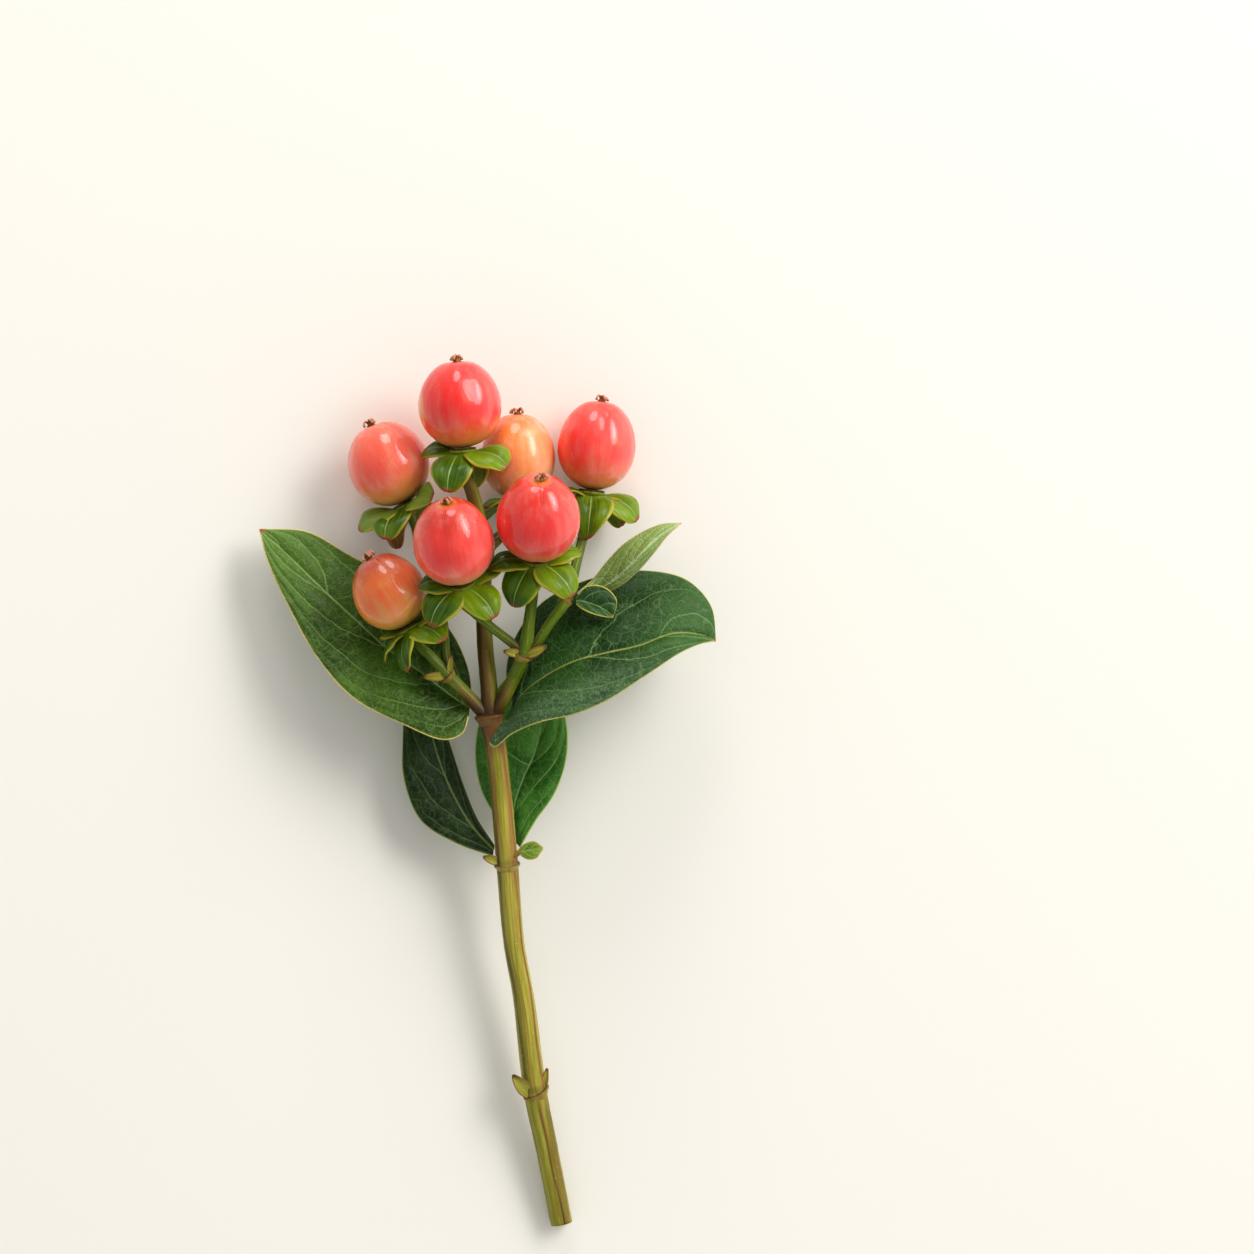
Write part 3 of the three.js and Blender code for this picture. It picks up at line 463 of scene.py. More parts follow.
def new_finish(name, **constants):
    """A material whose shader has its constant sockets set, and a signal to start from."""
    material = bpy.data.materials.new(name)
    material.use_nodes = True
    for socket, value in constants.items():
        material.node_tree.nodes["Principled BSDF"].inputs[socket.replace("_", " ")].default_value = value
    return material, Signal(material.node_tree)


def connect(colour, roughness, height=None, depth=0.0001):
    """Links colour, roughness and relief to their material's shader. Relief is a height of depth metres."""
    tree = colour.tree
    shader = tree.nodes["Principled BSDF"]
    tree.links.new(colour.socket, shader.inputs["Base Color"])
    tree.links.new(roughness.socket, shader.inputs["Roughness"])
    if height is not None:
        bump = colour.node("Bump", None, {"Height": height, "Distance": depth})
        tree.links.new(bump.socket, shader.inputs["Normal"])


def berry_finish(number, shoulder, middle, foot, patch, unripe, rim=0.0):
    """Glossy skin: shoulder colour to foot colour down the berry, unripe patches, streaks that run from
    tip to foot, a darker red middle of painted shade, a rosy side of painted light, a light strip, twin
    seam lines of painted shade, pale specks and an orange ring round the tip."""
    material, start = new_finish(
        f"berry_skin_{number}", Subsurface_Weight=0.4, Subsurface_Radius=(1.0, 0.15, 0.08),
        Subsurface_Scale=0.003, Coat_Weight=0.85, Coat_Roughness=0.08, Specular_IOR_Level=0.2)
    height, gap = start.numbers("height", "gap")
    shade_core, painted_light_rose, strip = start.vector("tints").parts()
    rightward = start.vector("place").parts()[0]
    place = start.vector("place").moved(7.0 * number, 0.0, 3.0 * number)
    lengthwise = place.stretched(1.0, 0.2, 1.0)
    cloud = place.noise(1.6, 3.0)
    streak = lengthwise.noise(4.5)
    fine = lengthwise.noise(26.0, 2.0, 0.6)
    left_rim = (0 - rightward).rise(0.78, 0.98) * height.fall(0.6, 0.9)
    level = height + (cloud - 0.5) * 0.25 - left_rim * rim
    patches = cloud + (streak - 0.5) * 0.5 - 0.15 * height
    patches = patches.rise(0.54 - 0.3 * unripe, 0.92 - 0.3 * unripe)
    # Twin dark lines by each fine seam near the tip: painted shade in its dent; they also sink the relief.
    seam_shade_line = abs(gap - 0.036).fall(0.0, 0.028) * height.rise(0.84, 0.93) * height.fall(0.97, 0.985)
    colour = level.rise(0.0, 0.42).between(foot, middle).coated(
        (level.rise(0.62, 0.95), shoulder),
        (patches * (0.35 + 0.5 * unripe), patch),
        (streak.rise(0.4, 0.8) * 0.16, "#f8b0a0"),
        # A dark red middle left of the top: painted shade on the side away from the key light.
        (shade_core * (0.5 - 0.3 * unripe), "#dc120c"),
        # A rosy right side: painted light on the side towards the key light.
        (painted_light_rose * 0.25, "#ff7f7c"),
        (strip * (0.2 + 0.25 * cloud), "#f0a080"),
        (seam_shade_line * 0.22, "#b02a1c"),
        (height.fall(0.0, 0.09) * 0.7, "#8f7a2c"),
        (height.rise(0.972, 0.992) * 0.75, "#dc7622"),
        (place.net(24.0).fall(0.0, 0.05) * fine.rise(0.55, 0.7) * 0.12, "#ffd8c0"))
    connect(colour, 0.26 + 0.1 * fine + 0.06 * patches, fine * 0.4 + cloud * 0.6 - seam_shade_line * 0.25, 0.0002)
    return material


def leaf_finish(name, body, dark, vein, rib, rim, light, painted_sheen_tint="#62805a"):
    """Leaf skin: cloudy green between two shades, lighter towards the tip and darkened by painted shade where
    the far-half shade field is, a thin midrib, arched side veins of even thickness, curled twigs and a net of
    small veins between them, a painted sheen where the sheen field is, a pale rim and a red tip. The
    underside is paler and matt."""
    material, start = new_finish(name, Specular_IOR_Level=0.17)
    phase, slope, along = start.vector("veins").parts()
    middle, edge, across = start.vector("gaps").parts()
    below, sheen, far_half_shade = start.numbers("below", "sheen", "far_half_shade")
    grain = start.object_place()
    cloud = grain.noise(70.0, 3.0)
    mottle = grain.noise(320.0, 3.0, 0.6)
    speck = grain.noise(2400.0, 2.0, 0.6)
    patchy = grain.noise(150.0).rise(0.35, 0.65)
    off = (phase + (cloud - 0.5) + (mottle - 0.5) * 0.2).off_half() / slope
    side_line = off.fall(0.02, 0.14) * (1 - across.rise(0.6, 0.95) * 0.9)
    mid_line = (middle + (mottle - 0.5) * 0.2).fall(0.05, 0.26)
    curl = grain.stirred(500.0, 0.0012).noise(260.0, 1.0, 0.4)
    curl_line = (curl * 5.0).off_half().fall(0.0, 0.1) * (0.25 + 0.75 * patchy)
    cell_line = grain.stirred(420.0, 0.0016).net(720.0).fall(0.0, 0.11)
    colour = (cloud + (mottle - 0.5) * 0.7).rise(0.3, 0.7).between(dark, body).coated(
        ((along + (cloud - 0.5) * 0.8).rise(0.35, 1.1) * 0.7, light),
        # Painted shade over the far half of the blade.
        (far_half_shade * 0.7, dark),
        (speck.rise(0.5, 0.75) * 0.2, vein),
        (cell_line * 0.18, vein),
        (curl_line * 0.36, vein),
        (side_line * (0.55 + 0.5 * mottle), vein),
        (mid_line * 0.75, rib),
        # Painted sheen: pale grey-green laid on as colour on the near half, where light glances off.
        (sheen * (0.3 + speck.rise(0.35, 0.65)) * 0.45, painted_sheen_tint),
        (below * 0.72, "#738a50"),
        (below * (side_line * 0.4 + mid_line * 0.4 + curl_line * 0.25), dark),
        (edge.fall(0.08, 0.26) * 0.9, rim),
        ((along + (mottle - 0.5) * 0.03).rise(0.97, 0.995) * 0.85, "#a04428"))
    hollows = off.fall(0.0, 1.1) * 0.5 + middle.fall(0.1, 1.2) * 0.4 + curl_line * 0.22 + cell_line * 0.16
    connect(colour, 0.36 + 0.16 * mottle + 0.14 * below, mottle * 0.3 - hollows, 0.0003)
    return material


def sepal_finish():
    """Sepal skin: glossy green, lighter and yellower on the right towards the key light and darker on the
    left, painted light and shade, and darker beside the light midrib, with pale streaks that fan from the
    root, partly veins and partly painted highlight, a yellow rim and a red-brown tip. The receptacle is
    yellow-green and the dried ring brown."""
    material, start = new_finish("sepal_skin", Specular_IOR_Level=0.1, Coat_Weight=0.22, Coat_Roughness=0.12)
    fan, across, along = start.vector("veins").parts()
    side, below, cone, ring, rust, tone = start.numbers("side", "below", "cone", "ring", "rust", "tone")
    grain = start.object_place()
    cloud = grain.noise(200.0, 3.0)
    mottle = grain.noise(800.0, 3.0, 0.6)
    fanned = start.node("CombineXYZ", None, {0: fan * 8.0, 1: along * 1.3, 2: side * 0.3})
    streaks = fanned.noise(1.0, 3.0, 0.6)
    mid_line = (abs(side) + (mottle - 0.5) * 0.02).fall(0.012, 0.05)
    colour = cloud.rise(0.35, 0.65).between("#284800", "#5c7c00").coated(
        # Painted light and shade: lighter and yellower on sepals towards the key light, darker away from it.
        (tone * 0.5, "#829a0c"),
        ((1 - tone) * 0.35, "#1e3c04"),
        # Pale streaks along the veins, stronger on the lit side: partly vein colour, partly painted
        # highlight.
        (streaks.rise(0.4, 0.62) * (0.2 + 0.35 * tone), "#7c9c1c"),
        (streaks.rise(0.62, 0.8) * (0.15 + 0.3 * tone), "#c0cc70"),
        ((abs(side) * 1.6).fall(0.05, 1.0) * along.rise(0.15, 0.5) * 0.45, "#2a560c"),
        (along.fall(0.0, 0.28) * 0.5, "#96a83a"),
        (mid_line * 0.7, "#a9c06a"),
        (below * 0.6, "#7d9434"),
        (across.rise(0.82, 0.96) * 0.75, "#b4b030"),
        (across.rise(0.93, 1.0) * cloud.rise(0.48, 0.62) * 0.75, "#a8552a"),
        ((along + (mottle - 0.5) * 0.1).rise(0.9, 0.99) * 0.9, "#98402a"),
        (rust * 0.85, "#8c3f22"),
        (cone, "#7c8f1c"),
        (ring * (0.7 + 0.3 * mottle), "#553214"))
    connect(colour, 0.26 + 0.16 * mottle + 0.3 * ring, (1 - streaks) * 0.7 + mottle * 0.3, 0.0003)
    return material


def stem_finish():
    """Stem bark: satin olive and yellow-green in fine lengthwise fibres, with red-brown lines and purple
    bands laid along it, dark joints, painted shade in the axils, atop the joint rings and partly on the
    flanks, pale pores and a pale cut end."""
    material, start = new_finish("stem_bark", Specular_IOR_Level=0.15, Coat_Weight=0.16, Coat_Roughness=0.18)
    grain = start.vector("grain")
    tan, purple, dark, fresh, pith = start.numbers(*BARK_FIELDS)
    fibre = grain.stretched(1.6, 1.6, 0.05).noise(2.4, 4.0, 0.65)
    blotch = grain.stretched(0.8, 0.8, 0.08).noise(1.0, 3.0, 0.6)
    fine = grain.stretched(6.0, 6.0, 0.4).noise(1.4, 3.0, 0.7)
    colour = blotch.rise(0.3, 0.7).between("#928e18", "#c6be48").coated(
        (fresh, "#526c00"),
        (fibre.rise(0.5, 0.72) * 0.45, "#c6c060"),
        (fibre.fall(0.28, 0.46) * 0.5, "#6a4a1e"),
        (tan * (0.6 + 0.4 * fibre), "#944c34"),
        (purple * 0.92, "#3e1c06"),
        # Dark joints and bract tips, with painted shade in the axils, atop the joint rings and on the flanks.
        (dark * 0.85, "#381c0e"),
        (grain.noise(2.2).rise(0.66, 0.74) * 0.25, "#d8cc94"),
        (pith, "#c4bc8c"))
    connect(colour, 0.32 + 0.2 * fine, fibre * 0.6 + fine * 0.4, 0.0002)
    return material


def crown_finish():
    """Dried styles: olive-brown at the root, rosy tan along the prongs, dark brown towards the tips."""
    material, start = new_finish("dried_styles", Specular_IOR_Level=0.3)
    along, = start.numbers("along")
    mottle = start.object_place().noise(2500.0, 3.0, 0.7)
    uneven = along + (mottle - 0.5) * 0.5
    colour = along.rise(0.0, 0.3).between("#7a6418", "#7c3420").coated(
        (uneven.rise(0.3, 0.6), "#cc8c6c"),
        (uneven.rise(0.8, 1.0), "#7a3422"),
        (mottle.rise(0.55, 0.75) * 0.45, "#e8c0a0"))
    connect(colour, 0.55 + 0.25 * mottle, mottle)
    return material


# ---- Berries, calyces and crowns ----

FRUIT_AXIS = np.array([0.0, 1.0, 0.0])
BERRY_ROWS, BERRY_COLUMNS = 84, 156
POLE_HOLE = 0.03
# Fine seams and foot clefts: width round the berry, depth, and their middle and reach from tip to foot.
# Widths, middles and reaches are angles in radians.
SEAM_WIDTH, SEAM_DEPTH, SEAM_MIDDLE, SEAM_REACH = 0.12, 0.03, 0.62, 0.42
CLEFT_WIDTH, CLEFT_DEPTH, CLEFT_MIDDLE, CLEFT_REACH = 0.2, 0.045, 2.65, 0.55
SEPAL_ROWS, SEPAL_COLUMNS, SEPAL_THICKNESS = 32, 18, 0.42
PARALLEL_VEINS, PARALLEL_RELIEF = 7, 0.05
MIDRIB_SINK, MIDRIB_WIDTH = 0.14, 0.09
CONE_COLUMNS, CONE_ROUGH = 40, 0.03
DRIED_COLUMNS, DRIED_ROUGH = 72, 0.09
DRIED_PROFILE = [(1.0, -0.05), (1.95, 0.0), (2.2, 0.14), (1.95, 0.32), (1.0, 0.25)]
PRONGS, PRONG_ROWS, PRONG_COLUMNS = 5, 18, 10
HUB_COLUMNS, HUB_BUMP = 20, 0.15
CROWN_SINK = 0.2


def in_place(fruit, local):
    """Points in a fruit's own right, axis and upward directions moved to the part's frame. The axis
    leans in plan and rises."""
    return local @ fruit_frame(fruit) + np.array(fruit["centre"])


def fruit_frame(fruit):
    """Right, axis and upward directions of a fruit, as rows."""
    rise = math.radians(fruit["rise"])
    lean = np.array(fruit["lean"]) / math.hypot(*fruit["lean"]) * math.cos(rise)
    axis = np.array([lean[0], lean[1], math.sin(rise)])
    upward = unit(UP - axis * axis[2])
    return np.stack([np.cross(axis, upward), axis, upward])


def about_axis(angle):
    """Direction at an angle about a fruit's own axis, from upward towards right."""
    return vectors(np.sin(angle), 0.0, np.cos(angle))


def signed(angle):
    """The same angle between minus and plus half a turn."""
    return np.arctan2(np.sin(angle), np.cos(angle))


def berry_shell(fruit):
    """Ellipsoid of revolution, narrower by the taper towards the tip, with six bell-shaped furrows,
    fine seams in three of them near the tip, three soft clefts at the foot and a dimple at the tip."""
    polar = np.linspace(math.pi - POLE_HOLE, POLE_HOLE, BERRY_ROWS)[:, None]
    own = circle(BERRY_COLUMNS)[None, :]
    bearing = own + math.radians(fruit["turn"])
    furrow, seam, cleft, gap = 0, 0, 0, math.pi
    for k in range(6):
        away = signed(own - k * TURN / 6)
        furrow = furrow + (SHALLOW_FURROW if k % 2 else DEEP_FURROW) * bell(away, FURROW_WIDTH)
        if k % 2 == 0:
            beside = signed(own - math.radians(fruit.get("seam", 0)) - k * TURN / 6)
            seam = seam + SEAM_DEPTH * bell(beside, SEAM_WIDTH)
            cleft = cleft + CLEFT_DEPTH * bell(away, CLEFT_WIDTH)
            gap = np.minimum(gap, np.abs(beside))
    depth = furrow * bell(polar - FURROW_CENTRE, FURROW_REACH) * np.sin(polar)
    depth = depth + seam * bell(polar - SEAM_MIDDLE, SEAM_REACH)
    depth = depth + cleft * bell(polar - CLEFT_MIDDLE, CLEFT_REACH)
    radius = (1 - BERRY_TAPER * np.cos(polar)) * (1 - depth) * np.sin(polar) * fruit["width"] / 2
    height = np.cos(polar) * fruit["length"] / 2 - TIP_DIMPLE * bell(polar, DIMPLE_SPREAD)
    local = vectors(radius * np.sin(bearing), height, radius * np.cos(bearing))
    place = vectors(np.sin(polar) * np.sin(bearing), np.cos(polar), np.sin(polar) * np.cos(bearing))
    # Tints: a darker red middle of painted shade left of the top, a rosy right side of painted
    # light and a light strip above the foot.
    facing = signed(bearing)
    tints = vectors(bell(facing + 0.3, 0.5) * bell(np.cos(polar) + 0.1, 0.6),
                    bell(facing - 1.0, 0.55) * np.sin(polar) ** 2,
                    bell(facing + 0.1, 0.16) * bell(np.cos(polar) + 0.5, 0.3))
    return ring_shell(in_place(fruit, local), place=place, height=(1 + np.cos(polar)) / 2,
                      gap=gap * np.sin(polar), tints=tints)


def oval_share(u):
    """Half-width of a pointed oval at share u of its length, as a share of its widest half-width."""
    def width(t):
        return (t + OVAL_ROOT) ** OVAL_RISE * (OVAL_CLOSE - t) ** OVAL_FALL
    widest = (OVAL_RISE * OVAL_CLOSE - OVAL_FALL * OVAL_ROOT) / (OVAL_RISE + OVAL_FALL)
    return width(u) / width(widest)


def blade_shell(surface, rows, columns, thickness, relief, fields):
    """A thin blade round surface(u, s). Each ring goes across the upper face from s = -1 to 1 and back
    under it; s is minus the cosine of the ring's angle, and the half-thickness is the square root of
    its sine, so the rim is round. The blade thins at the very tip. Relief is added along the surface's
    normal on both faces."""
    angle = circle(2 * columns)[None, :]
    u, s = np.broadcast_arrays(np.linspace(0, BLADE_END, rows)[:, None], -np.cos(angle))
    along = surface(np.minimum(u + SMALL_STEP, 1), s) - surface(np.maximum(u - SMALL_STEP, 0), s)
    across = surface(u, np.minimum(s + SMALL_STEP, 1)) - surface(u, np.maximum(s - SMALL_STEP, -1))
    normal = unit(np.cross(across, along))
    if normal[..., 2].mean() < 0:
        normal = -normal
    half = thickness / 2 * np.sign(np.sin(angle)) * np.abs(np.sin(angle)) ** 0.5
    half = half * (0.35 + 0.65 * ease(0, 0.03, 1 - u))
    below = (np.sin(angle) < -1e-6) * 1.0
    rings = surface(u, s) + normal * (half + relief(u, s))[..., None]
    return ring_shell(rings, side=s, below=below, **fields(u, s))


def sepal_shell(fruit, bearing, spread, twist, size, rust=0.0):
    """A sepal: pointed oval from the receptacle's rim, bowed by a half sine along it, its rims fallen by
    the square of s and each half swollen by a half sine across. Its twist eases from nought at the root
    to the whole at the tip, which bends back, and low ridges run along it as its parallel veins."""
    around, opened = math.radians(bearing), math.radians(spread)
    outward = about_axis(around)
    along = outward * math.sin(opened) - FRUIT_AXIS * math.cos(opened)
    across = np.cross(FRUIT_AXIS, outward)
    face = unit(np.cross(along, across))
    root = outward * SEPAL_ROOT - FRUIT_AXIS * (SEPAL_DROP + fruit["length"] / 2 + SEAT)

    def surface(u, s):
        half = SEPAL_WIDTH / 2 * size * oval_share(u)
        turn = math.radians(twist) * u * (2 - u)
        swell = SEPAL_SWELL * size * hump(np.abs(s)) * hump(u) ** 0.7
        curl = SEPAL_CURL * np.sin(9 * u + 3 * bearing) * s ** 3
        fall = swell + curl - SEPAL_DOME * half * s * s
        lift = SEPAL_BOW * hump(u) - SEPAL_HOOK * ease(0.7, 1.0, u) * size
        sideways = half * s * np.cos(turn) - fall * np.sin(turn)
        outwards = half * s * np.sin(turn) + fall * np.cos(turn) + lift
        return in_place(fruit, root + vectors(SEPAL_LENGTH * size * u, sideways, outwards)
                        @ np.stack([along, across, face]))

    def relief(u, s):
        parallel = np.cos(s * (1 - 0.5 * u) * PARALLEL_VEINS * math.pi)
        return PARALLEL_RELIEF * parallel * hump(u) - MIDRIB_SINK * bell(s, MIDRIB_WIDTH) * (1 - u)

    def fields(u, s):
        veins = vectors(s * (1 - 0.45 * u) + 10 * size + bearing, np.abs(s), u)
        # The lit-side share: painted light on sepals that face right, towards the key light.
        return dict(veins=veins, cone=0.0, ring=0.0, rust=rust, tone=ease(-0.6, 0.9, math.sin(around)))

    shell = blade_shell(surface, SEPAL_ROWS, SEPAL_COLUMNS, SEPAL_THICKNESS, relief, fields)
    # The side that faces the berry is the upper one, whichever way the sepal hangs.
    if (face @ fruit_frame(fruit))[2] < 0:
        shell["fields"]["below"] = 1 - shell["fields"]["below"]
    return shell


def turned_profile(fruit, profile, angle, wave):
    """A profile of radius and height turned about a fruit's axis, its radius multiplied by wave."""
    out, height = np.asarray(profile, float).T[..., None, None]
    return in_place(fruit, out * about_axis(angle) * wave[:, None] + height * FRUIT_AXIS)


def lathe_shell(fruit, profile, columns, rough, seed, **fields):
    """A turned profile of the calyx whose radius is varied by soft noise."""
    angle = circle(columns)
    wave = 1 + rough * ripple(about_axis(angle) * 3, 1.5, seed)
    return ring_shell(turned_profile(fruit, profile, angle, wave), side=1.0, below=0.0, rust=0.0, tone=0.0,
                      veins=vectors(angle * 3, 0.0, 0.5)[None], **fields)


def calyx_shells(fruit, number):
    """Receptacle cone, five sepals and the ragged dried ring where the petals fell."""
    rim = -fruit["length"] / 2 - SEAT
    cone = [(radius, rim - depth) for radius, depth in RECEPTACLE_PROFILE]
    dried = [(radius, rim + height) for radius, height in DRIED_PROFILE]
    shells = [lathe_shell(fruit, cone, CONE_COLUMNS, CONE_ROUGH, number, cone=1.0, ring=0.0),
              lathe_shell(fruit, dried, DRIED_COLUMNS, DRIED_ROUGH, 40 + number, cone=0.0, ring=1.0)]
    return shells + [sepal_shell(fruit, *sepal) for sepal in fruit["sepals"]]


def circles_across(along, reference, columns):
    """Circles of radius 1 across the directions along, whose first points are on the side of reference."""
    side = unit(np.cross(along, reference))
    over = np.cross(side, along)
    angle = circle(columns)[:, None]
    return over[..., None, :] * np.cos(angle) + side[..., None, :] * np.sin(angle)


def tube_rings(centres, radius, columns, reference):
    """Rings round a path: a circle in the plane across it at each centre, with a radius for each."""
    along = np.gradient(centres, axis=0)
    return centres[:, None] + circles_across(unit(along), reference, columns) * radius[:, None, None]


def crown_shells(fruit, number):
    """Five prongs on a low hub: each leans out, hooks over with a sideways curl that grows with the
    square of the distance along it, and ends in a small knob."""
    foot = fruit["length"] / 2 - TIP_DIMPLE + SEAT - CROWN_SINK
    draw = np.random.default_rng(300 + number)
    t = np.linspace(0, 1, PRONG_ROWS)
    girth = PRONG_RADIUS * (1 - 0.3 * t + 0.3 * bell(t - 0.93, 0.12) + 0.4 * bell(t, 0.2))
    girth[-1] *= 0.5
    shells = []
    for k in range(PRONGS):
        angle = TURN * k / PRONGS + draw.uniform(-0.3, 0.3)
        outward = about_axis(angle)
        sideways = about_axis(angle + TURN / 4) * draw.uniform(-0.5, 0.5)
        reach, tall = CROWN_RADIUS * draw.uniform(0.75, 1.0), CROWN_HEIGHT * draw.uniform(0.75, 1.15)
        line = [(outward + sideways * r) * reach * r + FRUIT_AXIS * (foot + tall * h) for r, h in PRONG_LINE]
        rings = tube_rings(spline(line, t), girth, PRONG_COLUMNS, FRUIT_AXIS)
        shells.append(ring_shell(in_place(fruit, rings), along=t[:, None]))
    angle = circle(HUB_COLUMNS)
    profile = [(radius, foot + height) for radius, height in HUB_PROFILE]
    hub = turned_profile(fruit, profile, angle, 1 + HUB_BUMP * np.cos(PRONGS * angle))
    shells.append(ring_shell(hub, along=np.linspace(0.25, 0, len(hub))[:, None]))
    return shells


# ---- Stem ----

RINGS_PER_MM = 2.2
MAIN_COLUMNS, BRANCH_COLUMNS, COLLAR_COLUMNS, CUT_COLUMNS = 96, 30, 48, 48
# Relief of the bark, as shares of the radius.
BARK_SINK, RIDGE_RELIEF = 0.03, 0.035
COLLAR_ROUGH = 0.05
SCALE_ROWS, SCALE_COLUMNS, SCALE_THICKNESS = 20, 12, 0.36
PETIOLE_ROWS, PETIOLE_COLUMNS = 12, 16
# Cut end: rings of its disc as share of the stem's radius, depth in the stem and paleness.
CUT_RINGS = [(0.3, 0.12, 1.0), (0.7, 0.1, 1.0), (0.93, 0.1, 0.4), (0.95, -0.04, 0.3), (0.7, -0.07, 0.9),
             (0.3, -0.03, 0.75)]
# Lengths from the cut end of the main stem to its joints.
LOWER_JOINT, MIDDLE_JOINT, FORK_JOINT = 22.5, 59.6, 83.0
# Lines along the main stem: angle from the top, width in radians, first and last length, strength.
TAN_LINES = [
    (-0.45, 0.09, 60, 86, 0.9), (0.22, 0.05, 60, 86, 0.6), (0.62, 0.3, 56, 86, 0.85), (0.95, 0.1, 20, 86, 1),
    (-0.7, 0.14, 60, 86, 0.8), (-0.3, 0.06, 22, 58, 0.7), (0.05, 0.06, 22, 60, 0.8),
    (0.35, 0.05, 24, 58, 0.6), (0.8, 0.25, 22, 56, 0.5), (0.05, 0.07, 0, 22, 0.9),
    (0.35, 0.08, 0, 22, 0.9), (-0.5, 0.05, 0, 22, 0.5),
    (1.05, 0.15, 0, 22, 0.9), (0, 1.6, 78.5, 90, 0.9),
]
PURPLE_BANDS = [
    (-1.05, 0.36, 58, 86, 0.9), (1.25, 0.12, 56, 86, 0.5), (-0.88, 0.32, 22, 58, 0.8),
    (-1.25, 0.25, 0, 22, 0.5), (0.85, 0.1, 24, 60, 0.6), (-0.2, 1.4, 79, 90, 0.5), (0.75, 0.45, -6, 20, 0.6),
    (0.15, 0.12, -4, 20, 0.75),
]


def bark_shares(**given):
    """The bark's colour fields: the shares given, and 0 for the others."""
    return {name: given.get(name, 0.0) for name in BARK_FIELDS}


def bark_grain(radius, angle, length):
    """Place in the bark's grain: across the stem in X and Y, and along it in Z."""
    return vectors(radius * np.cos(angle), radius * np.sin(angle), length)


def path_length(points):
    """Distance along a path at each of its points."""
    return np.concatenate([[0], np.cumsum(np.linalg.norm(np.diff(points, axis=0), axis=1))])


def stem_tube(stations, columns, seed, marks, *extent):
    """A tube along stations, its radius running straight from one station's to the next's, with low
    lengthwise ridges and soft noise. marks(length, angle, ...) gives the shares of the bark's colours."""
    stations = np.asarray(stations, float)
    rough_length = path_length(stations[:, :3])[-1]
    t = np.linspace(0, 1, int(rough_length * RINGS_PER_MM) + 8)
    centres = spline(stations[:, :3], t)
    length = path_length(centres)[:, None]
    radius = np.interp(t * (len(stations) - 1), np.arange(len(stations)), stations[:, 3])
    rings = tube_rings(centres, radius, columns, UP)
    angle = circle(columns)
    relief = RIDGE_RELIEF * np.cos(2 * angle) ** 2 - BARK_SINK
    relief = relief + 0.02 * ripple(rings, 2.5, seed) + 0.012 * ripple(rings, 0.9, seed + 1)
    rings = centres[:, None] + (rings - centres[:, None]) * (1 + relief)[..., None]
    return ring_shell(rings, grain=bark_grain(radius[:, None], angle, length + 17.0 * seed),
                      **bark_shares(**marks(length, signed(angle), *extent)))


def laid_lines(lines, length, angle):
    """Sum of lines laid along a stem: each is a bell across the angle whose middle wanders with a slow
    sine, between two lengths."""
    total = 0
    for k, (middle, width, first, last, strength) in enumerate(lines):
        wander = 0.1 * np.sin(length / 7 + 2 * k) + 0.05 * np.sin(length / 2.3 + k)
        span = ease(first - 2, first + 2, length) * (1 - ease(last - 2, last + 2, length))
        total = total + strength * bell(angle - middle - wander, width) * span
    return np.clip(total, 0, 1)


def main_marks(length, angle):
    """The main stem's red-brown lines and purple bands, darker at the joints and at the flanks, the flanks
    partly by their own dark edges and partly by painted shade, and fresher green along its upper side and
    towards the cut end."""
    joints = 0.5 * bell(length - LOWER_JOINT, 0.5) + 0.4 * bell(length - MIDDLE_JOINT, 0.6)
    joints = joints + 0.3 * bell(length - FORK_JOINT, 2.0)
    # Darker flanks: partly the stem's own dark edges, partly painted shade where the stem turns from the
    # light.
    flank_edge_and_shade = 0.45 * ease(1.15, 1.6, np.abs(angle))
    fresh = 0.16 * bell(angle + 0.3, 0.3)
    fresh = fresh + 0.16 * (1 - ease(52, 62, length)) + 0.06 * (1 - ease(18, 30, length))
    return dict(tan=laid_lines(TAN_LINES, length, angle), purple=laid_lines(PURPLE_BANDS, length, angle),
                dark=np.clip(flank_edge_and_shade + joints, 0, 1), fresh=fresh)


def branch_marks(length, angle, flush):
    """Bands on a branch: purple-brown above its joint for the length of the flush, then fresh green."""
    purple = 1 - ease(0.35 * flush, flush, length)
    left = 0.35 + 0.65 * bell(angle + 0.8, 0.8)
    return dict(purple=purple * left, tan=0.6 * bell(angle + 0.1, 0.5) * purple,
                # Dark at the branch's foot: painted shade in the axil. Dark flanks: partly own edges, partly
                # painted shade.
                dark=np.minimum(1.2 * bell(length, 3.2), 1) + 0.4 * ease(1.2, 1.7, np.abs(angle)),
                fresh=0.75 * (1 - purple) + 0.3)


def stalk_stations(fruit):
    """The last two stations of a fruit's stalk: straight along its axis to the receptacle."""
    foot = -fruit["length"] / 2 - SEAT - RECEPTACLE_HEIGHT - SEAT
    return [(*in_place(fruit, FRUIT_AXIS * (foot - back)), STALK_RADIUS) for back in (STALK_STRAIGHT, -0.6)]


